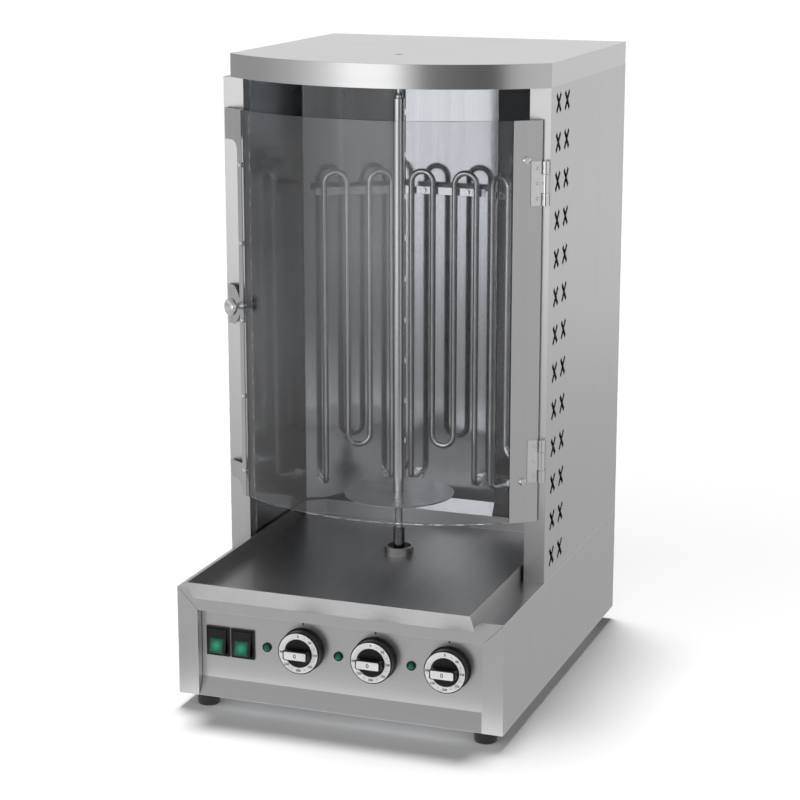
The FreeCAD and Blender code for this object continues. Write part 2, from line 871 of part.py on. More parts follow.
def bracket_screws():
    """Studs set flush in the deck, so the tray lies flat, with nuts under the bracket."""
    screws = []
    under = deck_top - sheet - bracket_thickness
    for x, y in bracket_screw_places():
        screws.append(post(x, y, under - stud_nut - 2, deck_top - 0.1, 2.0))
        nut = hexagon(x, y, under - stud_nut, 7.0, stud_nut, up_way)
        screws.append(cut(nut, [post(x, y, under - stud_nut - 1, under + 1, 2.05)]))
    return group(screws)


def gearmotor():
    """Slow gearmotor under the deck: gearbox above, round motor can below."""
    top = deck_top - sheet - bracket_thickness
    gearbox = box(-30, 30, spit_y - 24, spit_y + 24, 94, top - 0.2)
    can = post(0, spit_y + 2, 48, 94, 21)
    tail = post(0, spit_y + 2, 43, 48, 7)
    bore = post(0, spit_y, 98, 140, drive_shaft_radius + running_gap)
    bush_room = post(0, spit_y, deck_top - 4.4, deck_top, bush_radius + 0.4)
    return cut(joined([gearbox, can, tail]), [bore, bush_room])


# ---------------------------------------------------------------- drip tray
tray_half = 150.3
tray_floor = 1.2
tray_rim = 146.5
tray_rear = front + 297.0
tray_chamfer_x = 130.0
tray_chamfer_y = front + 283.0
lip_low = 124.4
lip_low_y = front - 14.6
collar_radius = 15.7
collar_bore = 12.6
collar_top = 139.5


def tray_outline(inset):
    """Plan of the tray, moved in by `inset`; its front edge is the rim of the lip."""
    half = tray_half - inset
    y_front = front - tray_overhang + inset
    return [
        (-half, y_front),
        (half, y_front),
        (half, tray_chamfer_y - inset * 0.3),
        (tray_chamfer_x - inset * 0.3, tray_rear - inset),
        (-tray_chamfer_x + inset * 0.3, tray_rear - inset),
        (-half, tray_chamfer_y - inset * 0.3),
    ]


def lip_y(z):
    """Where the outer face of the leaning front wall is at height z."""
    share = (z - lip_low) / (tray_rim - lip_low)
    return lip_low_y + share * (front - tray_overhang - lip_low_y)


def drip_tray():
    """Low pan with a leaning lip over the base's front and a collar round the drive."""
    wall = sheet
    outer = prism_xy(tray_outline(0), deck_top, tray_rim)
    inner = prism_xy(tray_outline(wall), deck_top + tray_floor, tray_rim + 1)
    ahead = [
        (front - tray_overhang - 5, deck_top - 1),
        (lip_y(deck_top - 1), deck_top - 1),
        (lip_y(tray_rim + 1), tray_rim + 1),
        (front - tray_overhang - 5, tray_rim + 1),
    ]
    lean_cut = prism_yz(ahead, -half_width, half_width)
    lip_points = [
        (lip_low_y, lip_low),
        (lip_y(tray_rim), tray_rim),
        (lip_y(tray_rim) + 1.5, tray_rim),
        (lip_low_y + 1.5, lip_low),
    ]
    lip = prism_yz(lip_points, -tray_half, tray_half)
    collar = post(0, spit_y, deck_top, collar_top, collar_radius)
    pan = joined([outer.cut(inner).cut(lean_cut), lip, collar])
    return cut(pan, [post(0, spit_y, deck_top - 1, collar_top + 1, collar_bore)])


# ---------------------------------------------------------------- controls
bezel_depth = 2.0
rocker_y = panel_face - 0.5
rocker_radius = 13.2


def switch_body(x):
    z = switch_level
    bezel = box(x - 12.75, x + 12.75, panel_face - bezel_depth, panel_face, z - 15.6, z + 15.6)
    barrel = box(x - 11, x + 11, panel_face, panel_face + 26, z - 14, z + 14)
    well = box(x - 10.2, x + 10.2, panel_face - 5, panel_face + 14, z - 13.6, z + 13.6)
    tabs = []
    for tx in (-6, 6):
        for tz in (-8, 8):
            tabs.append(box(x + tx - 0.4, x + tx + 0.4, panel_face + 26, panel_face + 34,
                            z + tz - 3.1, z + tz + 3.1))
    return cut(joined([bezel, barrel] + tabs), [well])


def rocker_profile():
    """Side view of a pressed rocker: its lower half stands out, its ends are arcs about the pivot."""
    def polar(degrees):
        angle = math.radians(degrees)
        return (-rocker_radius * math.sin(angle), rocker_radius * math.cos(angle))

    points = [polar(a) for a in (-30, -20, -10, 0, 8)]
    points.append((-3.0, 4.0))
    points += [polar(180 - a) for a in (32, 20, 10, 0, -10, -20, -30)]
    return points


def rocker(x):
    points = [(rocker_y + dy, switch_level + dz) for dy, dz in rocker_profile()]
    return prism_yz(points, x - 9.8, x + 9.8)


def rocker_lens(x):
    """Green window lying on the lower face of the rocker."""
    start = (-3.0, 4.0)
    angle = math.radians(180 - 32)
    end = (-rocker_radius * math.sin(angle), rocker_radius * math.cos(angle))
    length = math.hypot(end[0] - start[0], end[1] - start[1])
    way = ((end[0] - start[0]) / length, (end[1] - start[1]) / length)
    out = (way[1], -way[0])
    points = []
    for along, lift in ((0.9, 0.0), (length - 1.0, 0.0), (length - 1.2, 0.9), (1.1, 0.9)):
        points.append((rocker_y + start[0] + way[0] * along + out[0] * lift,
                       switch_level + start[1] + way[1] * along + out[1] * lift))
    return prism_yz(points, x - 6.9, x + 6.9)


def heat_regulator(x):
    """Box of a heat regulator with its threaded neck and panel nut."""
    z = knob_level
    case = box(x - 21, x + 21, panel_face + sheet + 0.4, panel_face + 36, z - 22, z + 22)
    neck = rod(x, z, panel_face - 3.4, panel_face + 3, 4.7)
    nut = hexagon(x, panel_face - 2.6, z, 14.0, 2.4, back_way)
    tabs = [box(x + t - 3.1, x + t + 3.1, panel_face + 36, panel_face + 44, z - 10.4, z - 9.6)
            for t in (-12, 0, 12)]
    bore = rod(x, z, panel_face - 6, panel_face + 30, shaft_radius + running_gap)
    return cut(joined([case, neck, nut] + tabs), [bore])


knob_radius = 23.0
dial_y = front - 4.0
knob_front = front - 14.0


def knob(x):
    """Hollow skirt, a bar to grip and the shaft that it turns."""
    z = knob_level
    rear = panel_face - 0.8
    depth = rear - dial_y
    skirt = turned(
        [(shaft_radius, depth - 4), (19.5, depth - 4), (20.6, 0), (knob_radius, 0),
         (knob_radius, 2.0), (22.4, depth - 0.8), (21.9, depth), (shaft_radius, depth)],
        x, rear, z, front_way,
    )
    shaft = rod(x, z, dial_y + 1, panel_face + 28, shaft_radius)
    hub = rod(x, z, dial_y - 1.2, dial_y + 1, 14.4)
    grip = box(x - 13.6, x + 13.6, knob_front, dial_y, z - 5.4, z + 5.4)
    ends = rod(x, z, knob_front - 1, dial_y + 1, 13.6)
    return joined([skirt, shaft, hub, grip.common(ends)])


def dial_ring(x):
    """Numbered ring lying in front of the skirt."""
    return turned(
        [(15.0, 0), (21.6, 0), (21.6, 0.5), (15.0, 0.5)], x, dial_y, knob_level, front_way
    )


def pilot_lenses():
    lenses = []
    for x in lamp_xs:
        lenses.append(turned(
            [(0, 0), (4.9, 0), (4.9, 0.9), (3.9, 2.4), (2.0, 3.2), (0, 3.4)],
            x, panel_face, lamp_level, front_way,
        ))
    return group(lenses)


def pilot_lamps():
    return group([rod(x, lamp_level, panel_face, panel_face + 24, 4.0) for x in lamp_xs])


def terminal_block():
    z0 = foot_height + sheet
    block = box(-150, -86, front + 330, front + 352, z0, z0 + 20)
    slots = []
    for i in range(5):
        x = -144 + i * 13
        slots.append(box(x - 0.6, x + 0.6, front + 328, front + 354, z0 + 8, z0 + 22))
        slots.append(post(x + 6, front + 341, z0 + 12, z0 + 22, 2.5))
    return cut(block, slots)


# ---------------------------------------------------------------- write every piece
os.makedirs("parts", exist_ok=True)

save("base_side_left", base_side(-1))
save("base_side_right", base_side(1))
save("deck_plate", deck_plate())
save("bottom_plate", bottom_plate())
save("base_rear_panel", base_rear_panel())
save("control_panel", control_panel())
save("rubber_feet", rubber_feet())
save("foot_screws", foot_screws())
save("cable_gland", cable_gland())
save("terminal_block", terminal_block())

save("side_panel_left", side_panel(-1))
save("side_panel_right", side_panel(1))
save("rear_cover", rear_cover())
save("case_screws", case_screws())
save("top_cap", top_cap())
save("ceiling_plate", ceiling_plate())
save("top_bush", top_bush())

save("liner_left", side_liner(-1))
save("liner_right", side_liner(1))
bars = []
bushes = []
for name, x, y, angle, half in reflector_frames():
    save("reflector_" + name, stand(reflector(name, half), x, y, angle))
    save("element_" + name, stand(element(), x, y, angle))
    bars.append(stand(element_bar(), x, y, angle))
    bushes.append(stand(element_bushes_at_reflector(), x, y, angle))
save("element_bars", group(bars))
save("element_bushes", group(bushes))

save("door_glass", door_glass())
save("door_hinge_strip", door_hinge_strip())
save("door_latch_strip", door_latch_strip())
save("door_knob", door_knob())
save("door_rivets", door_rivets())
save("strip_screws", strip_screws())
save("hinge_fixed_leaves", hinge_fixed_leaves())
save("hinge_moving_leaves", hinge_moving_leaves())
save("hinge_rivets", hinge_rivets())
save("hinge_pins", hinge_pins())

save("spit_rod", spit_rod())
save("spit_tube", spit_tube())
save("spit_plate", spit_plate())
save("drive_coupling", drive_coupling())
save("output_shaft", output_shaft())
save("deck_bush", deck_bush())
save("motor_bracket", motor_bracket())
save("bracket_screws", bracket_screws())
save("gearmotor", gearmotor())

save("drip_tray", drip_tray())

for number, x in enumerate(switch_xs, 1):
    save("rocker_%d" % number, rocker(x))
    save("rocker_lens_%d" % number, rocker_lens(x))
save("switch_bodies", group([switch_body(x) for x in switch_xs]))
for number, x in enumerate(knob_xs, 1):
    save("knob_%d" % number, knob(x))
    save("dial_ring_%d" % number, dial_ring(x))
save("heat_regulators", group([heat_regulator(x) for x in knob_xs]))
save("pilot_lenses", pilot_lenses())
save("pilot_lamps", pilot_lamps())
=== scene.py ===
import math

import bmesh
import bpy
import numpy as np
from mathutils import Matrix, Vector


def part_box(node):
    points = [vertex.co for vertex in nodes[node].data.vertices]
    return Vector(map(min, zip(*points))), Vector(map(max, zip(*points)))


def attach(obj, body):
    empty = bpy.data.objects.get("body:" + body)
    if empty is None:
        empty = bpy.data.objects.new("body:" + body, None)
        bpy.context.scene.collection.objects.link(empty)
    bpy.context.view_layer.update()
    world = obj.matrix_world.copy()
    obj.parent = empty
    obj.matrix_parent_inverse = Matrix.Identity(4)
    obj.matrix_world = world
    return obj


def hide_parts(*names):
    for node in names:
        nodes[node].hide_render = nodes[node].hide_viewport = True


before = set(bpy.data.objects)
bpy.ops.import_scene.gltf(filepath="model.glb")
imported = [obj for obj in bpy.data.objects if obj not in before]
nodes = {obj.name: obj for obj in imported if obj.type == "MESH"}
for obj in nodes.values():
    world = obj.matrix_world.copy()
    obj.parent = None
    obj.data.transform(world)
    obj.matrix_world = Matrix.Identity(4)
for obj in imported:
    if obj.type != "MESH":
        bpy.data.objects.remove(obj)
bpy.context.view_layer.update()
print("frame loaded:", len(nodes), "nodes")


def boxOf(name):
    low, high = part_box(name)
    return np.array(low), np.array(high)


def middleOf(name):
    low, high = boxOf(name)
    return (low + high) / 2


# meshes from arrays

def makeMesh(name, verts, faces, smooth=True):
    mesh = bpy.data.meshes.new(name)
    mesh.from_pydata(np.asarray(verts, float).tolist(), [], [list(f) for f in faces])
    mesh.validate()
    mesh.polygons.foreach_set("use_smooth", np.full(len(mesh.polygons), smooth))
    mesh.update()
    piece = bpy.data.objects.new(name, mesh)
    bpy.context.scene.collection.objects.link(piece)
    return piece


def place(piece, body, material):
    piece.data.materials.clear()
    piece.data.materials.append(material)
    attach(piece, body)
    return piece


def softenCorners(points, reach, steps=5):
    # each corner becomes a quadratic curve that starts and ends `reach` from the corner;
    # the first and last points stay
    points = np.asarray(points, float)
    reach = np.broadcast_to(np.asarray(reach, float), (len(points) - 2,))
    before, corner, after = points[:-2], points[1:-1], points[2:]
    toBefore = before - corner
    toAfter = after - corner
    lengthBefore = np.linalg.norm(toBefore, axis=1)
    lengthAfter = np.linalg.norm(toAfter, axis=1)
    cut = np.minimum(reach, 0.45 * np.minimum(lengthBefore, lengthAfter))
    start = corner + toBefore * (cut / lengthBefore)[:, None]
    end = corner + toAfter * (cut / lengthAfter)[:, None]
    t = np.linspace(0, 1, steps)[None, :, None]
    curve = (1 - t) ** 2 * start[:, None] + 2 * t * (1 - t) * corner[:, None] + t ** 2 * end[:, None]
    return np.vstack([points[:1], curve.reshape(-1, 2), points[-1:]])


def turnedShape(profile, segments, ripple=None):
    # point(radius, height, angle) = (radius cos angle, radius sin angle, height);
    # the profile runs from the axis to the axis, and its two ends are single points
    profile = np.asarray(profile, float)
    inner = profile[1:-1]
    angle = np.arange(segments) * 2 * math.pi / segments
    radius = np.repeat(inner[:, :1], segments, axis=1)
    if ripple is not None:
        radius = radius + ripple(inner[:, 1][:, None], angle[None, :])
    ring = np.stack([radius * np.cos(angle), radius * np.sin(angle),
                     np.repeat(inner[:, 1:], segments, axis=1)], axis=-1).reshape(-1, 3)
    first = np.array([[0, 0, profile[0, 1]]])
    last = np.array([[0, 0, profile[-1, 1]]])
    verts = np.vstack([ring, first, last])
    rows = len(inner)
    i, j = np.meshgrid(np.arange(rows - 1), np.arange(segments), indexing="ij")
    k = (j + 1) % segments
    quads = np.stack([i * segments + j, i * segments + k, (i + 1) * segments + k,
                      (i + 1) * segments + j], axis=-1).reshape(-1, 4)
    s = np.arange(segments)
    e = (s + 1) % segments
    low = np.stack([np.full(segments, rows * segments), e, s], axis=-1)
    top = np.stack([np.full(segments, rows * segments + 1), (rows - 1) * segments + s,
                    (rows - 1) * segments + e], axis=-1)
    return verts, quads.tolist() + low.tolist() + top.tolist()


def ringShape(profile, segments):
    # a closed profile (radius, height) that doesn't reach the axis, turned once round it
    profile = np.asarray(profile, float)
    angle = np.arange(segments) * 2 * math.pi / segments
    radius = np.repeat(profile[:, :1], segments, axis=1)
    verts = np.stack([radius * np.cos(angle), radius * np.sin(angle),
                      np.repeat(profile[:, 1:], segments, axis=1)], axis=-1).reshape(-1, 3)
    rows = len(profile)
    i, j = np.meshgrid(np.arange(rows), np.arange(segments), indexing="ij")
    n, k = (i + 1) % rows, (j + 1) % segments
    quads = np.stack([i * segments + j, i * segments + k, n * segments + k, n * segments + j],
                     axis=-1).reshape(-1, 4)
    return verts, quads.tolist()


def stackedShape(outline, levels, insets):
    # one closed outline repeated at each level, drawn in towards its middle by `inset`;
    # the first and last rings are closed with a fan to their middles
    outline = np.asarray(outline, float)
    middle = outline.mean(axis=0)
    away = outline - middle
    length = np.linalg.norm(away, axis=1, keepdims=True)
    rings = [middle + away * (1 - inset / length) for inset in insets]
    count = len(outline)
    grid = np.concatenate([
        np.column_stack([ring, np.full(count, level)]) for ring, level in zip(rings, levels)
    ])
    verts = np.vstack([grid, [[*middle, levels[0]], [*middle, levels[-1]]]])
    rows = len(levels)
    i, j = np.meshgrid(np.arange(rows - 1), np.arange(count), indexing="ij")
    k = (j + 1) % count
    quads = np.stack([i * count + j, i * count + k, (i + 1) * count + k,
                      (i + 1) * count + j], axis=-1).reshape(-1, 4)
    s = np.arange(count)
    e = (s + 1) % count
    low = np.stack([np.full(count, rows * count), e, s], axis=-1)
    top = np.stack([np.full(count, rows * count + 1), (rows - 1) * count + s,
                    (rows - 1) * count + e], axis=-1)
    return verts, quads.tolist() + low.tolist() + top.tolist()


def roundedRectangle(width, height, corner, steps=7):
    # four quarter circles joined by straight sides, counter-clockwise
    centres = np.array([[1, 1], [-1, 1], [-1, -1], [1, -1]]) * [width / 2 - corner, height / 2 - corner]
    turn = np.linspace(0, math.pi / 2, steps)
    starts = np.arange(4)[:, None] * math.pi / 2 + turn[None, :]
    arc = np.stack([np.cos(starts), np.sin(starts)], axis=-1) * corner
    return (centres[:, None, :] + arc).reshape(-1, 2)


def frontFacing(verts, at):
    # a shape made around +Z is laid so that +Z points to the front
    verts = np.asarray(verts, float)
    return np.column_stack([verts[:, 0], -verts[:, 2], verts[:, 1]]) + at


def along(verts, at, way):
    # a shape made around +Z is laid so that +Z points along the level direction `way`
    way = np.asarray(way, float)
    side = np.array([way[1] * -1, way[0], 0.0])
    up = np.array([0.0, 0.0, 1.0])
    verts = np.asarray(verts, float)
    return verts[:, :1] * side + verts[:, 1:2] * up + verts[:, 2:3] * way + at


def facingOut(piece):
    shape = bmesh.new()
    shape.from_mesh(piece.data)
    bmesh.ops.remove_doubles(shape, verts=shape.verts, dist=1e-6)
    bmesh.ops.recalc_face_normals(shape, faces=shape.faces)
    shape.to_mesh(piece.data)
    shape.free()
    piece.data.update()
    return piece


def sharpenOver(piece, degrees):
    # edges that turn by more than this are creases, the rest are shaded smooth
    shape = bmesh.new()
    shape.from_mesh(piece.data)
    limit = math.radians(degrees)
    for edge in shape.edges:
        edge.smooth = len(edge.link_faces) == 2 and edge.calc_face_angle(0) < limit
    shape.to_mesh(piece.data)
    shape.free()
    return piece


# shared node groups

def newGroup(name, inputs, outputs):
    tree = bpy.data.node_groups.new(name, "ShaderNodeTree")
    for label, kind in inputs:
        tree.interface.new_socket(label, in_out="INPUT", socket_type=kind)
    for label, kind in outputs:
        tree.interface.new_socket(label, in_out="OUTPUT", socket_type=kind)
    return tree, tree.nodes.new("NodeGroupInput"), tree.nodes.new("NodeGroupOutput")


def feed(tree, value, socket):
    if isinstance(value, bpy.types.NodeSocket):
        tree.links.new(value, socket)
    else:
        socket.default_value = value


def calc(tree, operation, a, b=0.0, c=None, clamp=False):
    node = tree.nodes.new("ShaderNodeMath")
    node.operation = operation
    node.use_clamp = clamp
    feed(tree, a, node.inputs[0])
    feed(tree, b, node.inputs[1])
    if c is not None:
        feed(tree, c, node.inputs[2])
    return node.outputs[0]


def times(tree, a, b):
    node = tree.nodes.new("ShaderNodeVectorMath")
    node.operation = "MULTIPLY"
    feed(tree, a, node.inputs[0])
    feed(tree, b, node.inputs[1])
    return node.outputs[0]


def noise(tree, where, scale, detail=2.0, rough=0.5):
    node = tree.nodes.new("ShaderNodeTexNoise")
    feed(tree, where, node.inputs["Vector"])
    node.inputs["Scale"].default_value = scale
    node.inputs["Detail"].default_value = detail
    node.inputs["Roughness"].default_value = rough
    return node.outputs["Fac"]


def fade(tree, value, fromLow, fromHigh, toLow=0.0, toHigh=1.0):
    node = tree.nodes.new("ShaderNodeMapRange")
    feed(tree, value, node.inputs["Value"])
    for label, number in (("From Min", fromLow), ("From Max", fromHigh), ("To Min", toLow),
                          ("To Max", toHigh)):
        node.inputs[label].default_value = number
    return node.outputs["Result"]


def blendColour(tree, share, first, second):
    node = tree.nodes.new("ShaderNodeMix")
    node.data_type = "RGBA"
    feed(tree, share, node.inputs[0])
    feed(tree, first, node.inputs[6])
    feed(tree, second, node.inputs[7])
    return node.outputs[2]


def buildGrain():
    # fine lines drawn out along the rolling direction, and broader cloudy bands of the same run
    tree, given, result = newGroup("brushedGrain", [("Place", "NodeSocketVector"),
                                                    ("Stretch", "NodeSocketVector")],
                                   [("Fine", "NodeSocketFloat"), ("Broad", "NodeSocketFloat")])
    lines = times(tree, given.outputs["Place"], given.outputs["Stretch"])
    fine = noise(tree, lines, 1.0, 3.0, 0.62)
    broad = noise(tree, lines, 0.11, 2.0, 0.5)
    tree.links.new(fade(tree, fine, 0.25, 0.75), result.inputs["Fine"])
    tree.links.new(fade(tree, broad, 0.3, 0.7), result.inputs["Broad"])
    return tree


def buildWipe():
    # soft patches left by a cloth, and a sparse scatter of small dull spots
    tree, given, result = newGroup("wipeMarks", [("Place", "NodeSocketVector")],
                                   [("Patch", "NodeSocketFloat"), ("Spot", "NodeSocketFloat")])
    patch = noise(tree, given.outputs["Place"], 14.0, 3.0, 0.55)
    spot = noise(tree, given.outputs["Place"], 160.0, 2.0, 0.5)
    tree.links.new(fade(tree, patch, 0.38, 0.68), result.inputs["Patch"])
    tree.links.new(fade(tree, spot, 0.66, 0.78), result.inputs["Spot"])
    return tree


def buildEdge():
    # how far the rounded normal leans from the face's own: high only beside an edge, broken into
    # patches; the materials lighten their colour there as a painted edge highlight
    tree, given, result = newGroup("paintedEdgeHighlight", [("Rounded", "NodeSocketVector"),
                                                ("Place", "NodeSocketVector")],
                                   [("Highlight", "NodeSocketFloat")])
    face = tree.nodes.new("ShaderNodeNewGeometry")
    dot = tree.nodes.new("ShaderNodeVectorMath")
    dot.operation = "DOT_PRODUCT"
    tree.links.new(face.outputs["Normal"], dot.inputs[0])
    tree.links.new(given.outputs["Rounded"], dot.inputs[1])
    lean = fade(tree, dot.outputs["Value"], 0.995, 0.9)
    patchy = fade(tree, noise(tree, given.outputs["Place"], 90.0, 2.0), 0.3, 0.6, 0.35, 1.0)
    tree.links.new(calc(tree, "MULTIPLY", lean, patchy, clamp=True), result.inputs["Highlight"])
    return tree


def buildMould():
    # the fine dimpled skin of moulded plastic, with slow swings of shine
    tree, given, result = newGroup("mouldSkin", [("Place", "NodeSocketVector")],
                                   [("Dimple", "NodeSocketFloat"), ("Swing", "NodeSocketFloat")])
    dimple = noise(tree, given.outputs["Place"], 2600.0, 2.0, 0.5)
    swing = noise(tree, given.outputs["Place"], 55.0, 2.0, 0.5)
    tree.links.new(dimple, result.inputs["Dimple"])
    tree.links.new(fade(tree, swing, 0.35, 0.65), result.inputs["Swing"])
    return tree


groups = {"grain": buildGrain(), "wipe": buildWipe(), "edge": buildEdge(), "mould": buildMould()}
print("node groups built:", len(groups))


# materials

def startMaterial(name):
    material = bpy.data.materials.new(name)
    material.use_nodes = True
    tree = material.node_tree
    tree.nodes.clear()
    output = tree.nodes.new("ShaderNodeOutputMaterial")
    shader = tree.nodes.new("ShaderNodeBsdfPrincipled")
    tree.links.new(shader.outputs[0], output.inputs[0])
    where = tree.nodes.new("ShaderNodeTexCoord").outputs["Object"]
    return material, tree, shader, where


def useGroup(tree, key, **given):
    node = tree.nodes.new("ShaderNodeGroup")
    node.node_tree = groups[key]
    for label, value in given.items():
        feed(tree, value, node.inputs[label])
    return node


def roundEdges(tree, radius):
    node = tree.nodes.new("ShaderNodeBevel")
    node.samples = 4
    node.inputs["Radius"].default_value = radius
    return node.outputs["Normal"]


def bump(tree, height, strength, distance, normal=None):
    node = tree.nodes.new("ShaderNodeBump")
    node.inputs["Strength"].default_value = strength
    node.inputs["Distance"].default_value = distance
    tree.links.new(height, node.inputs["Height"])
    if normal is not None:
        tree.links.new(normal, node.inputs["Normal"])
    return node.outputs["Normal"]


def rgb(*values):
    return (*values, 1.0)


grainDepth = 0.00004  # height of the brushed lines, in metres
dimpleDepth = 0.00003  # height of the moulded skin
swellDepth = 0.004  # height of the slow swells in polished sheet


def steelMaterial(name, dark, light, edge, rough, roughSwing, stretch, grainBump=0.25, wipe=0.05,
                  edgeRadius=0.0006, wave=0.0):
    # brushed or polished sheet: lines along the grain, wiped patches, and a painted highlight that
    # lightens the colour along rounded edges
    material, tree, shader, where = startMaterial(name)
    grain = useGroup(tree, "grain", Place=where, Stretch=stretch)
    marks = useGroup(tree, "wipe", Place=where)
    rounded = roundEdges(tree, edgeRadius)
    edgeHighlight = useGroup(tree, "edge", Rounded=rounded, Place=where)
    tone = calc(tree, "MULTIPLY_ADD", grain.outputs["Broad"], 0.45,
                calc(tree, "MULTIPLY", grain.outputs["Fine"], 0.55))
    colour = blendColour(tree, tone, rgb(*dark), rgb(*light))
    # painted highlight: the colour turns towards `edge` along rounded edges
    colour = blendColour(tree, edgeHighlight.outputs["Highlight"], colour, rgb(*edge))
    tree.links.new(colour, shader.inputs["Base Color"])
    shine = calc(tree, "MULTIPLY_ADD", grain.outputs["Fine"], roughSwing, rough)
    shine = calc(tree, "MULTIPLY_ADD", marks.outputs["Patch"], wipe, shine)
    shine = calc(tree, "MULTIPLY_ADD", marks.outputs["Spot"], wipe, shine)
    tree.links.new(shine, shader.inputs["Roughness"])
    normal = bump(tree, grain.outputs["Fine"], grainBump, grainDepth, rounded)
    if wave:
        swell = noise(tree, where, 9.0, 1.0, 0.4)
        normal = bump(tree, swell, wave, swellDepth, normal)
    tree.links.new(normal, shader.inputs["Normal"])
    shader.inputs["Metallic"].default_value = 1.0
    return material


def plasticMaterial(name, dark, light, rough, swing, specular=0.5, dimple=0.1,
                    edgeRadius=0.0005, edge=None):
    material, tree, shader, where = startMaterial(name)
    skin = useGroup(tree, "mould", Place=where)
    rounded = roundEdges(tree, edgeRadius)
    colour = blendColour(tree, skin.outputs["Swing"], rgb(*dark), rgb(*light))
    # painted highlight: where edges round off, the colour is lightened towards `edge`
    if edge is not None:
        edgeHighlight = useGroup(tree, "edge", Rounded=rounded, Place=where)
        colour = blendColour(tree, edgeHighlight.outputs["Highlight"], colour, rgb(*edge))
    tree.links.new(colour, shader.inputs["Base Color"])
    tree.links.new(calc(tree, "MULTIPLY_ADD", skin.outputs["Swing"], swing, rough),
                   shader.inputs["Roughness"])
    tree.links.new(bump(tree, skin.outputs["Dimple"], dimple, dimpleDepth, rounded),
                   shader.inputs["Normal"])
    shader.inputs["Specular IOR Level"].default_value = specular
    return material


# the grain runs along the axis with the small number
grainUp = (1100.0, 1100.0, 6.0)
grainAcross = (6.0, 1100.0, 1100.0)
grainDeep = (1100.0, 6.0, 1100.0)

# edge: the lighter colour painted along rounded edges as a highlight
caseSteel = dict(dark=(0.555, 0.555, 0.56), light=(0.59, 0.59, 0.595), edge=(0.80, 0.80, 0.81),
                 grainBump=0.03, wipe=0.015)
satinUp = steelMaterial("satinSteelUp", stretch=grainUp, rough=0.33, roughSwing=0.04, **caseSteel)
satinAcross = steelMaterial("satinSteelAcross", stretch=grainAcross, rough=0.27, roughSwing=0.03,
                            **caseSteel)
satinDeep = steelMaterial("satinSteelDeep", stretch=grainDeep, rough=0.3, roughSwing=0.04,
                          **caseSteel)
lidSteel = steelMaterial("lidSteel", stretch=grainAcross, rough=0.155, roughSwing=0.03,
                         **caseSteel)

traySteel = steelMaterial(
    "traySteel", dark=(0.48, 0.48, 0.485), light=(0.55, 0.55, 0.555), edge=(0.80, 0.80, 0.81),
    rough=0.36, roughSwing=0.05, stretch=grainDeep, grainBump=0.03, wipe=0.02)
mirrorSteel = steelMaterial(
    "mirrorSteel", dark=(0.46, 0.47, 0.48), light=(0.54, 0.55, 0.56), edge=(0.70, 0.70, 0.70),
    rough=0.10, roughSwing=0.02, stretch=grainUp, grainBump=0.015, wipe=0.03, wave=0.06)
spitSteel = steelMaterial(
    "spitSteel", dark=(0.56, 0.56, 0.565), light=(0.70, 0.70, 0.705), edge=(0.85, 0.85, 0.85),
    rough=0.12, roughSwing=0.08, stretch=grainUp, grainBump=0.15, edgeRadius=0.0003)
plateSteel = steelMaterial(
    "plateSteel", dark=(0.44, 0.44, 0.445), light=(0.56, 0.56, 0.565), edge=(0.8, 0.8, 0.8),
    rough=0.24, roughSwing=0.1, stretch=grainAcross, wipe=0.1, edgeRadius=0.0003)
brightSteel = steelMaterial(
    "brightSteel", dark=(0.66, 0.66, 0.665), light=(0.78, 0.78, 0.785), edge=(0.9, 0.9, 0.9),
    rough=0.1, roughSwing=0.05, stretch=(400.0, 400.0, 400.0), grainBump=0.05,
    edgeRadius=0.0002)
zincSteel = steelMaterial(
    "zincSteel", dark=(0.36, 0.37, 0.38), light=(0.52, 0.53, 0.54), edge=(0.7, 0.7, 0.7),
    rough=0.38, roughSwing=0.1, stretch=(120.0, 120.0, 120.0), grainBump=0.1, wipe=0.1)
# coupling and shaft steel with a dark base colour standing in for the dark reflection on the polished
# collar: painted reflection
darkReflectionSteel = steelMaterial(
    "darkReflectionSteel", dark=(0.20, 0.20, 0.205), light=(0.30, 0.30, 0.305), edge=(0.75, 0.75, 0.75),
    rough=0.14, roughSwing=0.06, stretch=(60.0, 60.0, 1400.0), grainBump=0.05, edgeRadius=0.0005)
bushBrass = steelMaterial(
    "bushBrass", dark=(0.52, 0.40, 0.20), light=(0.68, 0.53, 0.28), edge=(0.8, 0.66, 0.4),
    rough=0.25, roughSwing=0.1, stretch=(60.0, 60.0, 1400.0), edgeRadius=0.0003)

# edge: the lighter colour painted along rounded edges as a highlight
blackPlastic = plasticMaterial("blackPlastic", dark=(0.004, 0.004, 0.0045),
                               light=(0.008, 0.008, 0.0085), rough=0.2, swing=0.08, specular=0.3,
                               edge=(0.03, 0.03, 0.032))
dialWhite = plasticMaterial("dialWhite", dark=(0.88, 0.88, 0.875), light=(0.93, 0.93, 0.925),
                            rough=0.4, swing=0.08, dimple=0.05)
printBlack = plasticMaterial("printBlack", dark=(0.012, 0.012, 0.012), light=(0.03, 0.03, 0.03),
                             rough=0.5, swing=0.1, dimple=0.05)
greyPlastic = plasticMaterial("greyPlastic", dark=(0.16, 0.16, 0.165), light=(0.22, 0.22, 0.225),
                              rough=0.45, swing=0.12)
motorPaint = plasticMaterial("motorPaint", dark=(0.09, 0.09, 0.095), light=(0.14, 0.14, 0.145),
                             rough=0.4, swing=0.15, dimple=0.3, edge=(0.3, 0.3, 0.3))
footRubber = plasticMaterial("footRubber", dark=(0.012, 0.012, 0.012), light=(0.024, 0.024, 0.024),
                             rough=0.6, swing=0.15, specular=0.35, dimple=0.4)


heaterValues = dict(stretch=(260.0, 260.0, 60.0), dark=(0.50, 0.50, 0.51), light=(0.66, 0.66, 0.66),
                    straw=(0.50, 0.46, 0.41), strawShare=0.35, rough=0.16, roughSwing=0.08,
                    grainBump=0.15)


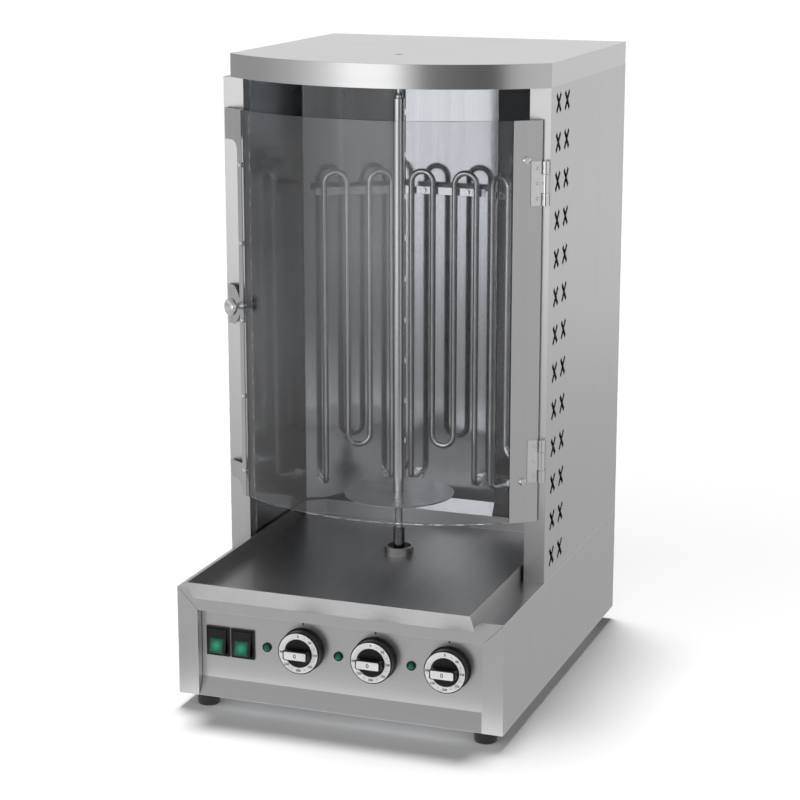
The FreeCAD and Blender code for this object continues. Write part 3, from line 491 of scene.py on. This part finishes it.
def heaterMaterial():
    # drawn steel sheath dulled by heat: mottled grey with faint straw patches
    v = heaterValues
    material, tree, shader, where = startMaterial("heaterSheath")
    grain = useGroup(tree, "grain", Place=where, Stretch=v["stretch"])
    marks = useGroup(tree, "wipe", Place=where)
    colour = blendColour(tree, grain.outputs["Fine"], rgb(*v["dark"]), rgb(*v["light"]))
    straw = calc(tree, "MULTIPLY", marks.outputs["Patch"], v["strawShare"])
    colour = blendColour(tree, straw, colour, rgb(*v["straw"]))
    tree.links.new(colour, shader.inputs["Base Color"])
    shine = calc(tree, "MULTIPLY_ADD", grain.outputs["Broad"], v["roughSwing"], v["rough"])
    tree.links.new(shine, shader.inputs["Roughness"])
    tree.links.new(bump(tree, grain.outputs["Fine"], v["grainBump"], grainDepth),
                   shader.inputs["Normal"])
    shader.inputs["Metallic"].default_value = 1.0
    return material


glassValues = dict(stretch=(40.0, 40.0, 7.0), deep=(0.845, 0.855, 0.875), pale=(0.875, 0.885, 0.905),
                   wiped=0.008, ior=1.5)


def glassMaterial():
    # lightly smoked pane: broad streaks change its tint a little, wiped patches its shine
    v = glassValues
    material, tree, shader, where = startMaterial("smokedGlass")
    streaks = useGroup(tree, "grain", Place=where, Stretch=v["stretch"])
    marks = useGroup(tree, "wipe", Place=where)
    tint = blendColour(tree, streaks.outputs["Broad"], rgb(*v["deep"]), rgb(*v["pale"]))
    tree.links.new(tint, shader.inputs["Base Color"])
    shine = calc(tree, "MULTIPLY", marks.outputs["Patch"], v["wiped"])
    tree.links.new(shine, shader.inputs["Roughness"])
    shader.inputs["Metallic"].default_value = 0.0
    shader.inputs["Transmission Weight"].default_value = 1.0
    shader.inputs["IOR"].default_value = v["ior"]
    return material


lensFinish = dict(roughSwing=0.06, specular=0.3, coat=0.15, ribShade=0.8)


def lensMaterial(name, centres, radius, values):
    # a lit coloured window: pale at its middle, deep green at its rim, with moulded ribs inside
    material, tree, shader, where = startMaterial(name)
    nearest = None
    for centre in centres:
        gap = tree.nodes.new("ShaderNodeVectorMath")
        gap.operation = "DISTANCE"
        tree.links.new(where, gap.inputs[0])
        gap.inputs[1].default_value = centre
        far = gap.outputs["Value"]
        nearest = far if nearest is None else calc(tree, "MINIMUM", nearest, far)
    glow = fade(tree, nearest, radius, radius * (1 - values["heartShare"]))
    ribs = tree.nodes.new("ShaderNodeTexWave")
    ribs.inputs["Scale"].default_value = values["ribs"]
    ribs.bands_direction = "X"
    tree.links.new(where, ribs.inputs["Vector"])
    glow = calc(tree, "MULTIPLY", glow, fade(tree, ribs.outputs["Fac"], 0.0, 1.0,
                                             lensFinish["ribShade"], 1.0))
    skin = useGroup(tree, "mould", Place=where)
    tree.links.new(blendColour(tree, glow, rgb(*values["rim"]), rgb(*values["heart"])),
                   shader.inputs["Base Color"])
    tree.links.new(blendColour(tree, glow, rgb(*values["rimLight"]), rgb(*values["heartLight"])),
                   shader.inputs["Emission Color"])
    shader.inputs["Emission Strength"].default_value = values["strength"]
    shine = calc(tree, "MULTIPLY_ADD", skin.outputs["Swing"], lensFinish["roughSwing"],
                 values["rough"])
    tree.links.new(shine, shader.inputs["Roughness"])
    shader.inputs["Specular IOR Level"].default_value = lensFinish["specular"]
    shader.inputs["Coat Weight"].default_value = lensFinish["coat"]
    return material


heaterSheath = heaterMaterial()
smokedGlass = glassMaterial()
print("materials built:", len(bpy.data.materials))

finishes = {
    satinUp: ["base_side_left", "base_side_right", "side_panel_left", "side_panel_right",
              "door_hinge_strip", "door_latch_strip"],
    satinAcross: ["control_panel", "rear_cover", "base_rear_panel"],
    lidSteel: ["top_cap"],
    satinDeep: ["deck_plate"],
    traySteel: ["drip_tray"],
    mirrorSteel: ["liner_left", "liner_right", "reflector_left", "reflector_centre",
                  "reflector_right", "ceiling_plate"],
    heaterSheath: ["element_left", "element_centre", "element_right"],
    spitSteel: ["spit_rod", "spit_tube", "element_bars"],
    darkReflectionSteel: ["drive_coupling", "output_shaft"],
    plateSteel: ["spit_plate"],
    brightSteel: ["door_rivets", "strip_screws", "hinge_fixed_leaves", "hinge_moving_leaves",
                  "hinge_pins", "hinge_rivets", "case_screws", "foot_screws",
                  "element_bushes", "door_knob"],
    zincSteel: ["bottom_plate", "motor_bracket", "bracket_screws"],
    bushBrass: ["top_bush", "deck_bush"],
    smokedGlass: ["door_glass"],
    blackPlastic: ["switch_bodies", "cable_gland", "knob_1", "knob_2", "knob_3", "rocker_1",
                   "rocker_2"],
    greyPlastic: ["heat_regulators", "pilot_lamps", "terminal_block"],
    motorPaint: ["gearmotor"],
    footRubber: ["rubber_feet"],
}
for material, names in finishes.items():
    for name in names:
        mesh = nodes[name].data
        mesh.materials.clear()
        mesh.materials.append(material)
print("finishes given to", sum(len(names) for names in finishes.values()), "nodes")


# heat knobs: skirt, grip bar, white insert with its mark, numbered dial

knobValues = dict(
    segments=96, ribs=48, ribDepth=0.0003, gripLength=0.0266, gripWidth=0.0104,
    insertLength=0.0236, insertWidth=0.0082, insertLift=0.0004, insertCorner=0.0012,
    numbers=("0", "50", "100", "150", "200", "250", "300"), numberSize=0.0034,
    dialInner=0.0150, dialOuter=0.0210, dialEdge=0.0001, letterWeight=0.00011,
    numberRadius=0.0180, firstTurn=0.0, lastTurn=270.0, dot=0.0009, markSize=0.0062,
    printDeep=0.0002, printProud=0.00004, panelRecess=0.010, panelGap=0.0008,
    ribLow=0.0032, ribHigh=0.0105, gripCorner=0.0022, sunk=0.001, crease=40, dialCrease=30,
)


def letterSlab(text, size, deep, weight):
    # letters as a closed slab centred on the origin, `deep` thick
    curve = bpy.data.curves.new("letters", "FONT")
    curve.body = text
    curve.size = size
    curve.align_x = "CENTER"
    curve.align_y = "CENTER"
    curve.extrude = deep / 2
    curve.offset = weight
    curve.resolution_u = 3
    holder = bpy.data.objects.new("letters", curve)
    bpy.context.scene.collection.objects.link(holder)
    bpy.context.view_layer.update()
    mesh = bpy.data.meshes.new_from_object(
        holder.evaluated_get(bpy.context.evaluated_depsgraph_get()))
    verts = np.zeros(len(mesh.vertices) * 3)
    mesh.vertices.foreach_get("co", verts)
    faces = [list(polygon.vertices) for polygon in mesh.polygons]
    bpy.data.objects.remove(holder)
    bpy.data.curves.remove(curve)
    bpy.data.meshes.remove(mesh)
    return verts.reshape(-1, 3), faces


def together(shapes):
    # several (verts, faces) pairs as one
    allVerts, allFaces, start = [], [], 0
    for verts, faces in shapes:
        allVerts.append(np.asarray(verts, float))
        allFaces += [[start + corner for corner in face] for face in faces]
        start += len(verts)
    return np.vstack(allVerts), allFaces


def knobRipple(height, angle):
    v = knobValues
    band = (height > v["ribLow"]) & (height < v["ribHigh"])
    return -v["ribDepth"] * band * (0.5 + 0.5 * np.cos(angle * v["ribs"]))


def buildKnob(number):
    v = knobValues
    node = "knob_%d" % number
    body = ["knob_left", "knob_middle", "knob_right"][number - 1]
    ring = "dial_ring_%d" % number
    ringLow, ringHigh = boxOf(ring)
    knobLow, knobHigh = boxOf(node)
    centre = (ringLow + ringHigh) / 2
    rimRadius = (knobHigh[0] - knobLow[0]) / 2
    dialY = ringHigh[1]
    rearY = boxOf("control_panel")[0][1] + v["panelRecess"] - v["panelGap"]
    depth = rearY - dialY
    profile = softenCorners([
        (0, 0.0045), (0.0165, 0.0045), (rimRadius - 0.0022, 0.0), (rimRadius, 0.0),
        (rimRadius, 0.0022), (rimRadius - 0.0012, 0.0030), (rimRadius - 0.0014, depth - 0.0024),
        (rimRadius - 0.0008, depth - 0.0018), (rimRadius - 0.0008, depth), (0.0146, depth),
        (0.0142, depth + 0.0011), (0, depth + 0.0011)], 0.0005)
    verts, faces = turnedShape(profile, v["segments"], knobRipple)
    skirt = makeMesh("knobSkirt%d" % number, frontFacing(verts, [centre[0], rearY, centre[2]]), faces)
    sharpenOver(facingOut(skirt), v["crease"])
    place(skirt, body, blackPlastic)
    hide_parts(node)

    proud = dialY - ringLow[1]
    inner, outer, edge = v["dialInner"], v["dialOuter"], v["dialEdge"]
    plateProfile = np.array([[inner, 0], [outer, 0], [outer, proud - edge], [outer - edge, proud],
                             [inner + edge, proud], [inner, proud - edge]])
    verts, faces = ringShape(plateProfile, v["segments"])
    dial = makeMesh("dialPlate%d" % number, frontFacing(verts, [centre[0], dialY, centre[2]]), faces)
    place(sharpenOver(facingOut(dial), v["dialCrease"]), body, dialWhite)
    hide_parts(ring)

    outline = roundedRectangle(v["gripLength"], v["gripWidth"], v["gripCorner"])
    top = dialY - knobLow[1]
    rim = top - v["insertLift"]
    verts, faces = stackedShape(outline, np.array([-v["sunk"], rim - 0.0008, rim - 0.0003, rim]),
                                [0, 0, 0.0002, 0.0007])
    grip = makeMesh("knobGrip%d" % number, frontFacing(verts, [centre[0], dialY, centre[2]]), faces)
    sharpenOver(facingOut(grip), v["crease"])
    place(grip, body, blackPlastic)

    outline = roundedRectangle(v["insertLength"], v["insertWidth"], v["insertCorner"])
    levels = np.array([rim - v["sunk"], top - 0.0002, top - 0.00005, top - 0.00005])
    verts, faces = stackedShape(outline, levels, [0, 0, 0.0002, 0.0006])
    insert = makeMesh("knobInsert%d" % number, frontFacing(verts, [centre[0], dialY, centre[2]]),
                      faces)
    sharpenOver(facingOut(insert), v["crease"])
    place(insert, body, dialWhite)

    # the dial's numbers stand upright round the ring, with a dot between each two
    prints = []
    count = len(v["numbers"])
    for index in range(count):
        turn = math.radians(v["firstTurn"] + index * (v["lastTurn"] - v["firstTurn"]) / (count - 1))
        spot = np.array([math.sin(turn), math.cos(turn)]) * v["numberRadius"]
        verts, faces = letterSlab(v["numbers"][index], v["numberSize"], v["printDeep"],
                                  v["letterWeight"])
        prints.append((verts + [*spot, proud - v["printDeep"] / 2 + v["printProud"]], faces))
        if index < count - 1:
            turn += math.radians((v["lastTurn"] - v["firstTurn"]) / (count - 1) / 2)
            spot = np.array([math.sin(turn), math.cos(turn)]) * v["numberRadius"]
            verts, faces = stackedShape(roundedRectangle(v["dot"], v["dot"], v["dot"] * 0.49, 3),
                                        np.array([0, v["printDeep"]]), [0, 0])
            prints.append((verts + [*spot, proud - v["printDeep"] + v["printProud"]], faces))
    verts, faces = letterSlab("0", v["markSize"], v["printDeep"], v["letterWeight"])
    prints.append((verts + [0, 0, top - v["printDeep"] / 2 + v["printProud"] - 0.00005], faces))
    verts, faces = together(prints)
    marks = makeMesh("knobMarks%d" % number, frontFacing(verts, [centre[0], dialY, centre[2]]),
                     faces, smooth=False)
    place(facingOut(marks), body, printBlack)
    return centre


knobCentres = [buildKnob(number) for number in (1, 2, 3)]
print("knobs built")


# index mark on the panel above each knob

indexValues = dict(rise=0.0262, width=0.0026, height=0.0030, deep=0.0002, proud=0.00004)
panelY = boxOf("pilot_lenses")[1][1]


def buildIndexMarks():
    v = indexValues
    half = v["width"] / 2
    arrow = np.array([[half, v["height"] / 2], [-half, v["height"] / 2], [0, -v["height"] / 2]])
    shapes = []
    for centre in knobCentres:
        verts, faces = stackedShape(arrow, np.array([0, v["deep"]]), [0, 0])
        at = [centre[0], panelY - v["proud"] + v["deep"], centre[2] + v["rise"]]
        shapes.append((frontFacing(verts, at), faces))
    verts, faces = together(shapes)
    marks = makeMesh("indexMarks", verts, faces, smooth=False)
    place(facingOut(marks), "cabinet", printBlack)


buildIndexMarks()
print("index marks built")


# pilot lamps: domed green lens in a dark ring

pilotValues = dict(
    segments=48, lensRadius=0.0040, lensRise=0.0034, ringRadius=0.0049, ringRise=0.0015,
    ribs=420.0, strength=0.35, rough=0.06, rim=(0.0, 0.05, 0.025), heart=(0.0, 0.24, 0.13),
    rimLight=(0.0, 0.04, 0.02), heartLight=(0.0, 0.50, 0.25), heartShare=0.7,
    foot=0.0001, wall=0.0008, ringGap=0.0001, ringFloor=0.0005, ringSoft=0.0003,
    crease=50, ringCrease=40,
)


def buildPilots():
    v = pilotValues
    low, high = boxOf("pilot_lenses")
    middle = (low + high) / 2
    spread = (high[0] - low[0]) / 2 - v["ringRadius"]
    centres = [np.array([middle[0] + side * spread, panelY, middle[2]]) for side in (-1, 0, 1)]
    step = np.linspace(0, math.pi / 2, 12)
    dome = np.column_stack([np.cos(step) * v["lensRadius"],
                            v["wall"] + np.sin(step) * (v["lensRise"] - v["wall"])])
    dome[-1, 0] = 0.0
    lensProfile = np.vstack([[[0, v["foot"]], [v["lensRadius"], v["foot"]]], dome])
    bore = v["lensRadius"] + v["ringGap"]
    ringProfile = softenCorners([(0, 0), (v["ringRadius"], 0), (v["ringRadius"], v["ringRise"]),
                                 (bore, v["ringRise"]), (bore, v["ringFloor"]),
                                 (0, v["ringFloor"])], v["ringSoft"])
    lensShapes, ringShapes = [], []
    for centre in centres:
        verts, faces = turnedShape(lensProfile, v["segments"])
        lensShapes.append((frontFacing(verts, centre), faces))
        verts, faces = turnedShape(ringProfile, v["segments"])
        ringShapes.append((frontFacing(verts, centre), faces))
    lenses = makeMesh("pilotDomes", *together(lensShapes))
    material = lensMaterial("pilotLens", centres, v["lensRadius"], v)
    place(sharpenOver(facingOut(lenses), v["crease"]), "cabinet", material)
    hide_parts("pilot_lenses")
    rings = makeMesh("pilotRings", *together(ringShapes))
    place(sharpenOver(facingOut(rings), v["ringCrease"]), "cabinet", blackPlastic)


buildPilots()
print("pilot lamps built")


# rocker switches: lit green window on each rocker's lower face

rockerValues = dict(
    width=0.0146, length=0.0150, corner=0.0014, lift=0.0010, pivotBack=0.0005,
    start=(-0.0030, 0.0040), radius=0.0132, endTurn=148.0, strength=0.3, rough=0.14,
    ribs=160.0, rim=(0.0, 0.05, 0.026), heart=(0.0, 0.16, 0.09), rimLight=(0.0, 0.12, 0.06),
    heartLight=(0.0, 0.66, 0.33), heartShare=0.85, glowShare=0.42, sunk=0.0002, crease=50,
)


def buildRockerLens(number, body):
    v = rockerValues
    node = "rocker_lens_%d" % number
    at = middleOf("rocker_%d" % number)
    level = middleOf("switch_bodies")[2]
    pivot = np.array([panelY - v["pivotBack"], level])
    turn = math.radians(v["endTurn"])
    start = np.array(v["start"])
    end = np.array([-math.sin(turn), math.cos(turn)]) * v["radius"]
    length = np.linalg.norm(end - start)
    way = (end - start) / length
    out = np.array([way[1], -way[0]])
    outline = roundedRectangle(v["width"], v["length"], v["corner"])
    lift = v["lift"]
    verts, faces = stackedShape(outline,
                                np.array([-v["sunk"], lift * 0.5, lift * 0.85, lift, lift]),
                                [0, 0, 0.0003, 0.0010, 0.0040])
    middle = pivot + start + way * length / 2
    world = np.column_stack([at[0] + verts[:, 0],
                             middle[0] - way[0] * verts[:, 1] + out[0] * verts[:, 2],
                             middle[1] - way[1] * verts[:, 1] + out[1] * verts[:, 2]])
    lens = makeMesh("rockerWindow%d" % number, world, faces)
    heart = [at[0], middle[0], middle[1]]
    material = lensMaterial("rockerLens%d" % number, [heart], v["length"] * v["glowShare"], v)
    place(sharpenOver(facingOut(lens), v["crease"]), body, material)
    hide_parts(node)


buildRockerLens(1, "switch_left")
buildRockerLens(2, "switch_right")
print("rocker windows built")


# door pull: turned head on a waisted neck

pullValues = dict(segments=96, turn=34.5, soften=0.0012, level=0.402, base=(-0.15106, -0.08351),
                  crease=50)


def buildPull():
    v = pullValues
    angle = math.radians(v["turn"])
    way = [-math.sin(angle), -math.cos(angle), 0.0]
    at = np.array([*v["base"], v["level"]])
    profile = softenCorners([
        (0, -0.0061), (0.0042, -0.0061), (0.0042, -0.0052), (0.0025, -0.0052), (0.0025, 0.0),
        (0.0046, 0.0), (0.0042, 0.0012), (0.0034, 0.0040), (0.0036, 0.0066), (0.0070, 0.0092),
        (0.0093, 0.0106), (0.0098, 0.0126), (0.0094, 0.0146), (0.0078, 0.0162), (0.0046, 0.0174),
        (0, 0.0176)], v["soften"])
    verts, faces = turnedShape(profile, v["segments"])
    pull = makeMesh("doorPull", along(verts, at, way), faces)
    place(sharpenOver(facingOut(pull), v["crease"]), "door", brightSteel)
    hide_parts("door_knob")


buildPull()
print("door pull built")


# floor, light and camera

stageValues = dict(size=60.0, dark=(0.89, 0.89, 0.89), light=(0.91, 0.91, 0.91), rough=0.9)
floorMesh = makeMesh("floor", np.array([[-1, -1, 0], [1, -1, 0], [1, 1, 0], [-1, 1, 0]]) *
                     stageValues["size"], [[0, 1, 2, 3]], smooth=False)
material, tree, shader, where = startMaterial("paleFloor")
cloud = noise(tree, where, 1.5, 2.0)
tree.links.new(blendColour(tree, cloud, rgb(*stageValues["dark"]), rgb(*stageValues["light"])),
               shader.inputs["Base Color"])
shader.inputs["Roughness"].default_value = stageValues["rough"]
shader.inputs["Specular IOR Level"].default_value = 0.0
floorMesh.data.materials.append(material)
# metal and glass see the floor card below in place of the floor
floorMesh.visible_glossy = False
floorMesh.visible_transmission = False

# brightness all round, by compass angle from the front towards the right, in degrees
roomLight = [(-180, 0.82), (-150, 0.82), (-120, 0.6), (-102, 0.44), (-80, 0.46), (-60, 0.62),
             (-48, 0.85), (-38, 1.15), (-28, 1.62), (-9, 1.62), (0, 0.8), (8, 0.28), (20, 0.2),
             (36, 0.13), (41, 0.16), (46, 0.6), (56, 0.75), (100, 0.78), (140, 0.8), (180, 0.82)]
roomValues = dict(level=0.8, above=0.42, below=1.0, white=1.0, forMatt=0.10,
                  flatBy=0.2, upFrom=0.28, upTo=0.52, downFrom=-0.35, downTo=-0.75)


def rampOf(tree, given, stops, low, high):
    # a row of (place, value) pairs as one smooth curve; values over 1 are scaled back afterwards
    top = max(value for at, value in stops)
    ramp = tree.nodes.new("ShaderNodeValToRGB")
    tree.links.new(given, ramp.inputs[0])
    marks = ramp.color_ramp.elements
    marks.remove(marks[0])
    for index, (at, value) in enumerate(stops):
        share = (at - low) / (high - low)
        mark = marks[0] if index == 0 else marks.new(share)
        mark.position = share
        mark.color = rgb(*[value / top] * 3)
    return calc(tree, "MULTIPLY", ramp.outputs[0], top)


def compassTurn(tree, way):
    # 0 to 1 once round, starting and ending at the back, half way at the front
    split = tree.nodes.new("ShaderNodeSeparateXYZ")
    tree.links.new(way, split.inputs[0])
    angle = calc(tree, "ARCTAN2", split.outputs["X"],
                 calc(tree, "MULTIPLY", split.outputs["Y"], -1.0))
    return calc(tree, "MULTIPLY_ADD", angle, 1 / (2 * math.pi), 0.5), split.outputs["Z"]


def buildRoom():
    # light seen in the metal changes with the compass angle near the horizon, and fades to one
    # value higher up, another overhead and another underfoot; matt surfaces see one low value,
    # and the camera sees plain white behind the object
    v = roomValues
    world = bpy.data.worlds.new("studio")
    bpy.context.scene.world = world
    world.use_nodes = True
    tree = world.node_tree
    tree.nodes.clear()
    way = tree.nodes.new("ShaderNodeTexCoord").outputs["Generated"]
    turn, height = compassTurn(tree, way)
    level = rampOf(tree, turn, roomLight, -180, 180)
    level = blendColour(tree, fade(tree, height, 0.0, v["flatBy"]), level, rgb(*[v["level"]] * 3))
    up = fade(tree, height, v["upFrom"], v["upTo"])
    down = fade(tree, height, v["downFrom"], v["downTo"])
    level = calc(tree, "ADD", calc(tree, "MULTIPLY", level, calc(tree, "SUBTRACT", 1.0, up)),
                 calc(tree, "MULTIPLY", up, v["above"]))
    level = calc(tree, "ADD", calc(tree, "MULTIPLY", level, calc(tree, "SUBTRACT", 1.0, down)),
                 calc(tree, "MULTIPLY", down, v["below"]))
    seen = tree.nodes.new("ShaderNodeBackground")
    plain = tree.nodes.new("ShaderNodeBackground")
    plain.inputs["Color"].default_value = rgb(*[v["white"]] * 3)
    ray = tree.nodes.new("ShaderNodeLightPath")
    level = blendColour(tree, ray.outputs["Is Diffuse Ray"], level, rgb(*[v["forMatt"]] * 3))
    tree.links.new(level, seen.inputs["Color"])
    mixer = tree.nodes.new("ShaderNodeMixShader")
    tree.links.new(ray.outputs["Is Camera Ray"], mixer.inputs[0])
    tree.links.new(seen.outputs[0], mixer.inputs[1])
    tree.links.new(plain.outputs[0], mixer.inputs[2])
    output = tree.nodes.new("ShaderNodeOutputWorld")
    tree.links.new(mixer.outputs[0], output.inputs[0])


buildRoom()

# a card on the floor that only the metal and the glass see: dull beside the object, brighter
# further out, gone beyond its rim, dark where the room is dark, and bright close in front
cardValues = dict(side=3.0, lift=0.0004, angleFrom=0.28, angleTo=0.5, clearFrom=0.6, clearTo=0.98,
                  front=-0.225, frontReach=0.18, frontFade=0.06, frontDeep=0.03, frontEnd=0.07,
                  frontLevel=1.2)
cardByDistance = [(0.0, 0.53), (0.8, 0.56), (1.3, 0.62), (1.8, 0.79), (2.4, 0.92), (3.0, 1.1)]
cardByAngle = [(-180, 0.85), (-110, 0.8), (-60, 0.95), (-40, 1.0), (-5, 1.0), (3, 0.7), (10, 0.3),
               (36, 0.16), (42, 0.2), (48, 0.85), (60, 1.0), (120, 0.95), (180, 0.85)]


def buildCard():
    v = cardValues
    side = v["side"]
    card = makeMesh("floorCard", np.array([[-side, -side, v["lift"]], [side, -side, v["lift"]],
                                           [side, side, v["lift"]], [-side, side, v["lift"]]]),
                    [[0, 1, 2, 3]], smooth=False)
    material = bpy.data.materials.new("floorCard")
    material.use_nodes = True
    tree = material.node_tree
    tree.nodes.clear()
    where = tree.nodes.new("ShaderNodeTexCoord").outputs["Object"]
    turn, height = compassTurn(tree, where)
    far = tree.nodes.new("ShaderNodeVectorMath")
    far.operation = "LENGTH"
    tree.links.new(where, far.inputs[0])
    share = calc(tree, "MULTIPLY", far.outputs["Value"], 1 / side, clamp=True)
    byAngle = blendColour(tree, fade(tree, share, v["angleFrom"], v["angleTo"]),
                          rgb(1.0, 1.0, 1.0), rampOf(tree, turn, cardByAngle, -180, 180))
    level = calc(tree, "MULTIPLY", rampOf(tree, share, cardByDistance, 0, side), byAngle)
    split = tree.nodes.new("ShaderNodeSeparateXYZ")
    tree.links.new(where, split.inputs[0])
    across = calc(tree, "ABSOLUTE", split.outputs["X"])
    ahead = calc(tree, "ABSOLUTE", calc(tree, "SUBTRACT", split.outputs["Y"], v["front"]))
    strip = calc(tree, "MULTIPLY",
                 fade(tree, across, v["frontReach"] + v["frontFade"], v["frontReach"]),
                 fade(tree, ahead, v["frontEnd"], v["frontDeep"]))
    level = blendColour(tree, strip, level, rgb(*[v["frontLevel"]] * 3))
    glow = tree.nodes.new("ShaderNodeEmission")
    tree.links.new(level, glow.inputs["Strength"])
    clear = tree.nodes.new("ShaderNodeBsdfTransparent")
    mixer = tree.nodes.new("ShaderNodeMixShader")
    tree.links.new(fade(tree, share, v["clearFrom"], v["clearTo"]), mixer.inputs[0])
    tree.links.new(glow.outputs[0], mixer.inputs[1])
    tree.links.new(clear.outputs[0], mixer.inputs[2])
    output = tree.nodes.new("ShaderNodeOutputMaterial")
    tree.links.new(mixer.outputs[0], output.inputs[0])
    card.data.materials.append(material)
    card.visible_camera = False
    card.visible_diffuse = False
    card.visible_shadow = False


buildCard()

# two soft suns that only matt surfaces see: one overhead, one from the front left
sunValues = {
    "softTop": dict(strength=2.85, spread=16.0, tip=(-8.0, -4.0, 0.0)),
    "softFront": dict(strength=0.85, spread=60.0, tip=(57.0, 0.0, -20.0)),
}
for name, values in sunValues.items():
    lamp = bpy.data.lights.new(name, "SUN")
    lamp.energy = values["strength"]
    lamp.angle = math.radians(values["spread"])
    lampObject = bpy.data.objects.new(name, lamp)
    lampObject.rotation_euler = [math.radians(a) for a in values["tip"]]
    lampObject.visible_glossy = False
    bpy.context.scene.collection.objects.link(lampObject)

cameraValues = dict(place=(0.782, -2.1495, 0.850), turn=20.14, tip=13.65, lens=99.8, far=200.0)
camera = bpy.data.cameras.new("camera")
camera.lens = cameraValues["lens"]
camera.clip_end = cameraValues["far"]
cameraObject = bpy.data.objects.new("camera", camera)
cameraObject.location = cameraValues["place"]
cameraObject.rotation_euler = (math.radians(90 - cameraValues["tip"]), 0,
                               math.radians(cameraValues["turn"]))
bpy.context.scene.collection.objects.link(cameraObject)
bpy.context.scene.camera = cameraObject
bpy.context.scene.view_settings.view_transform = "Standard"
print("stage, light and camera set")
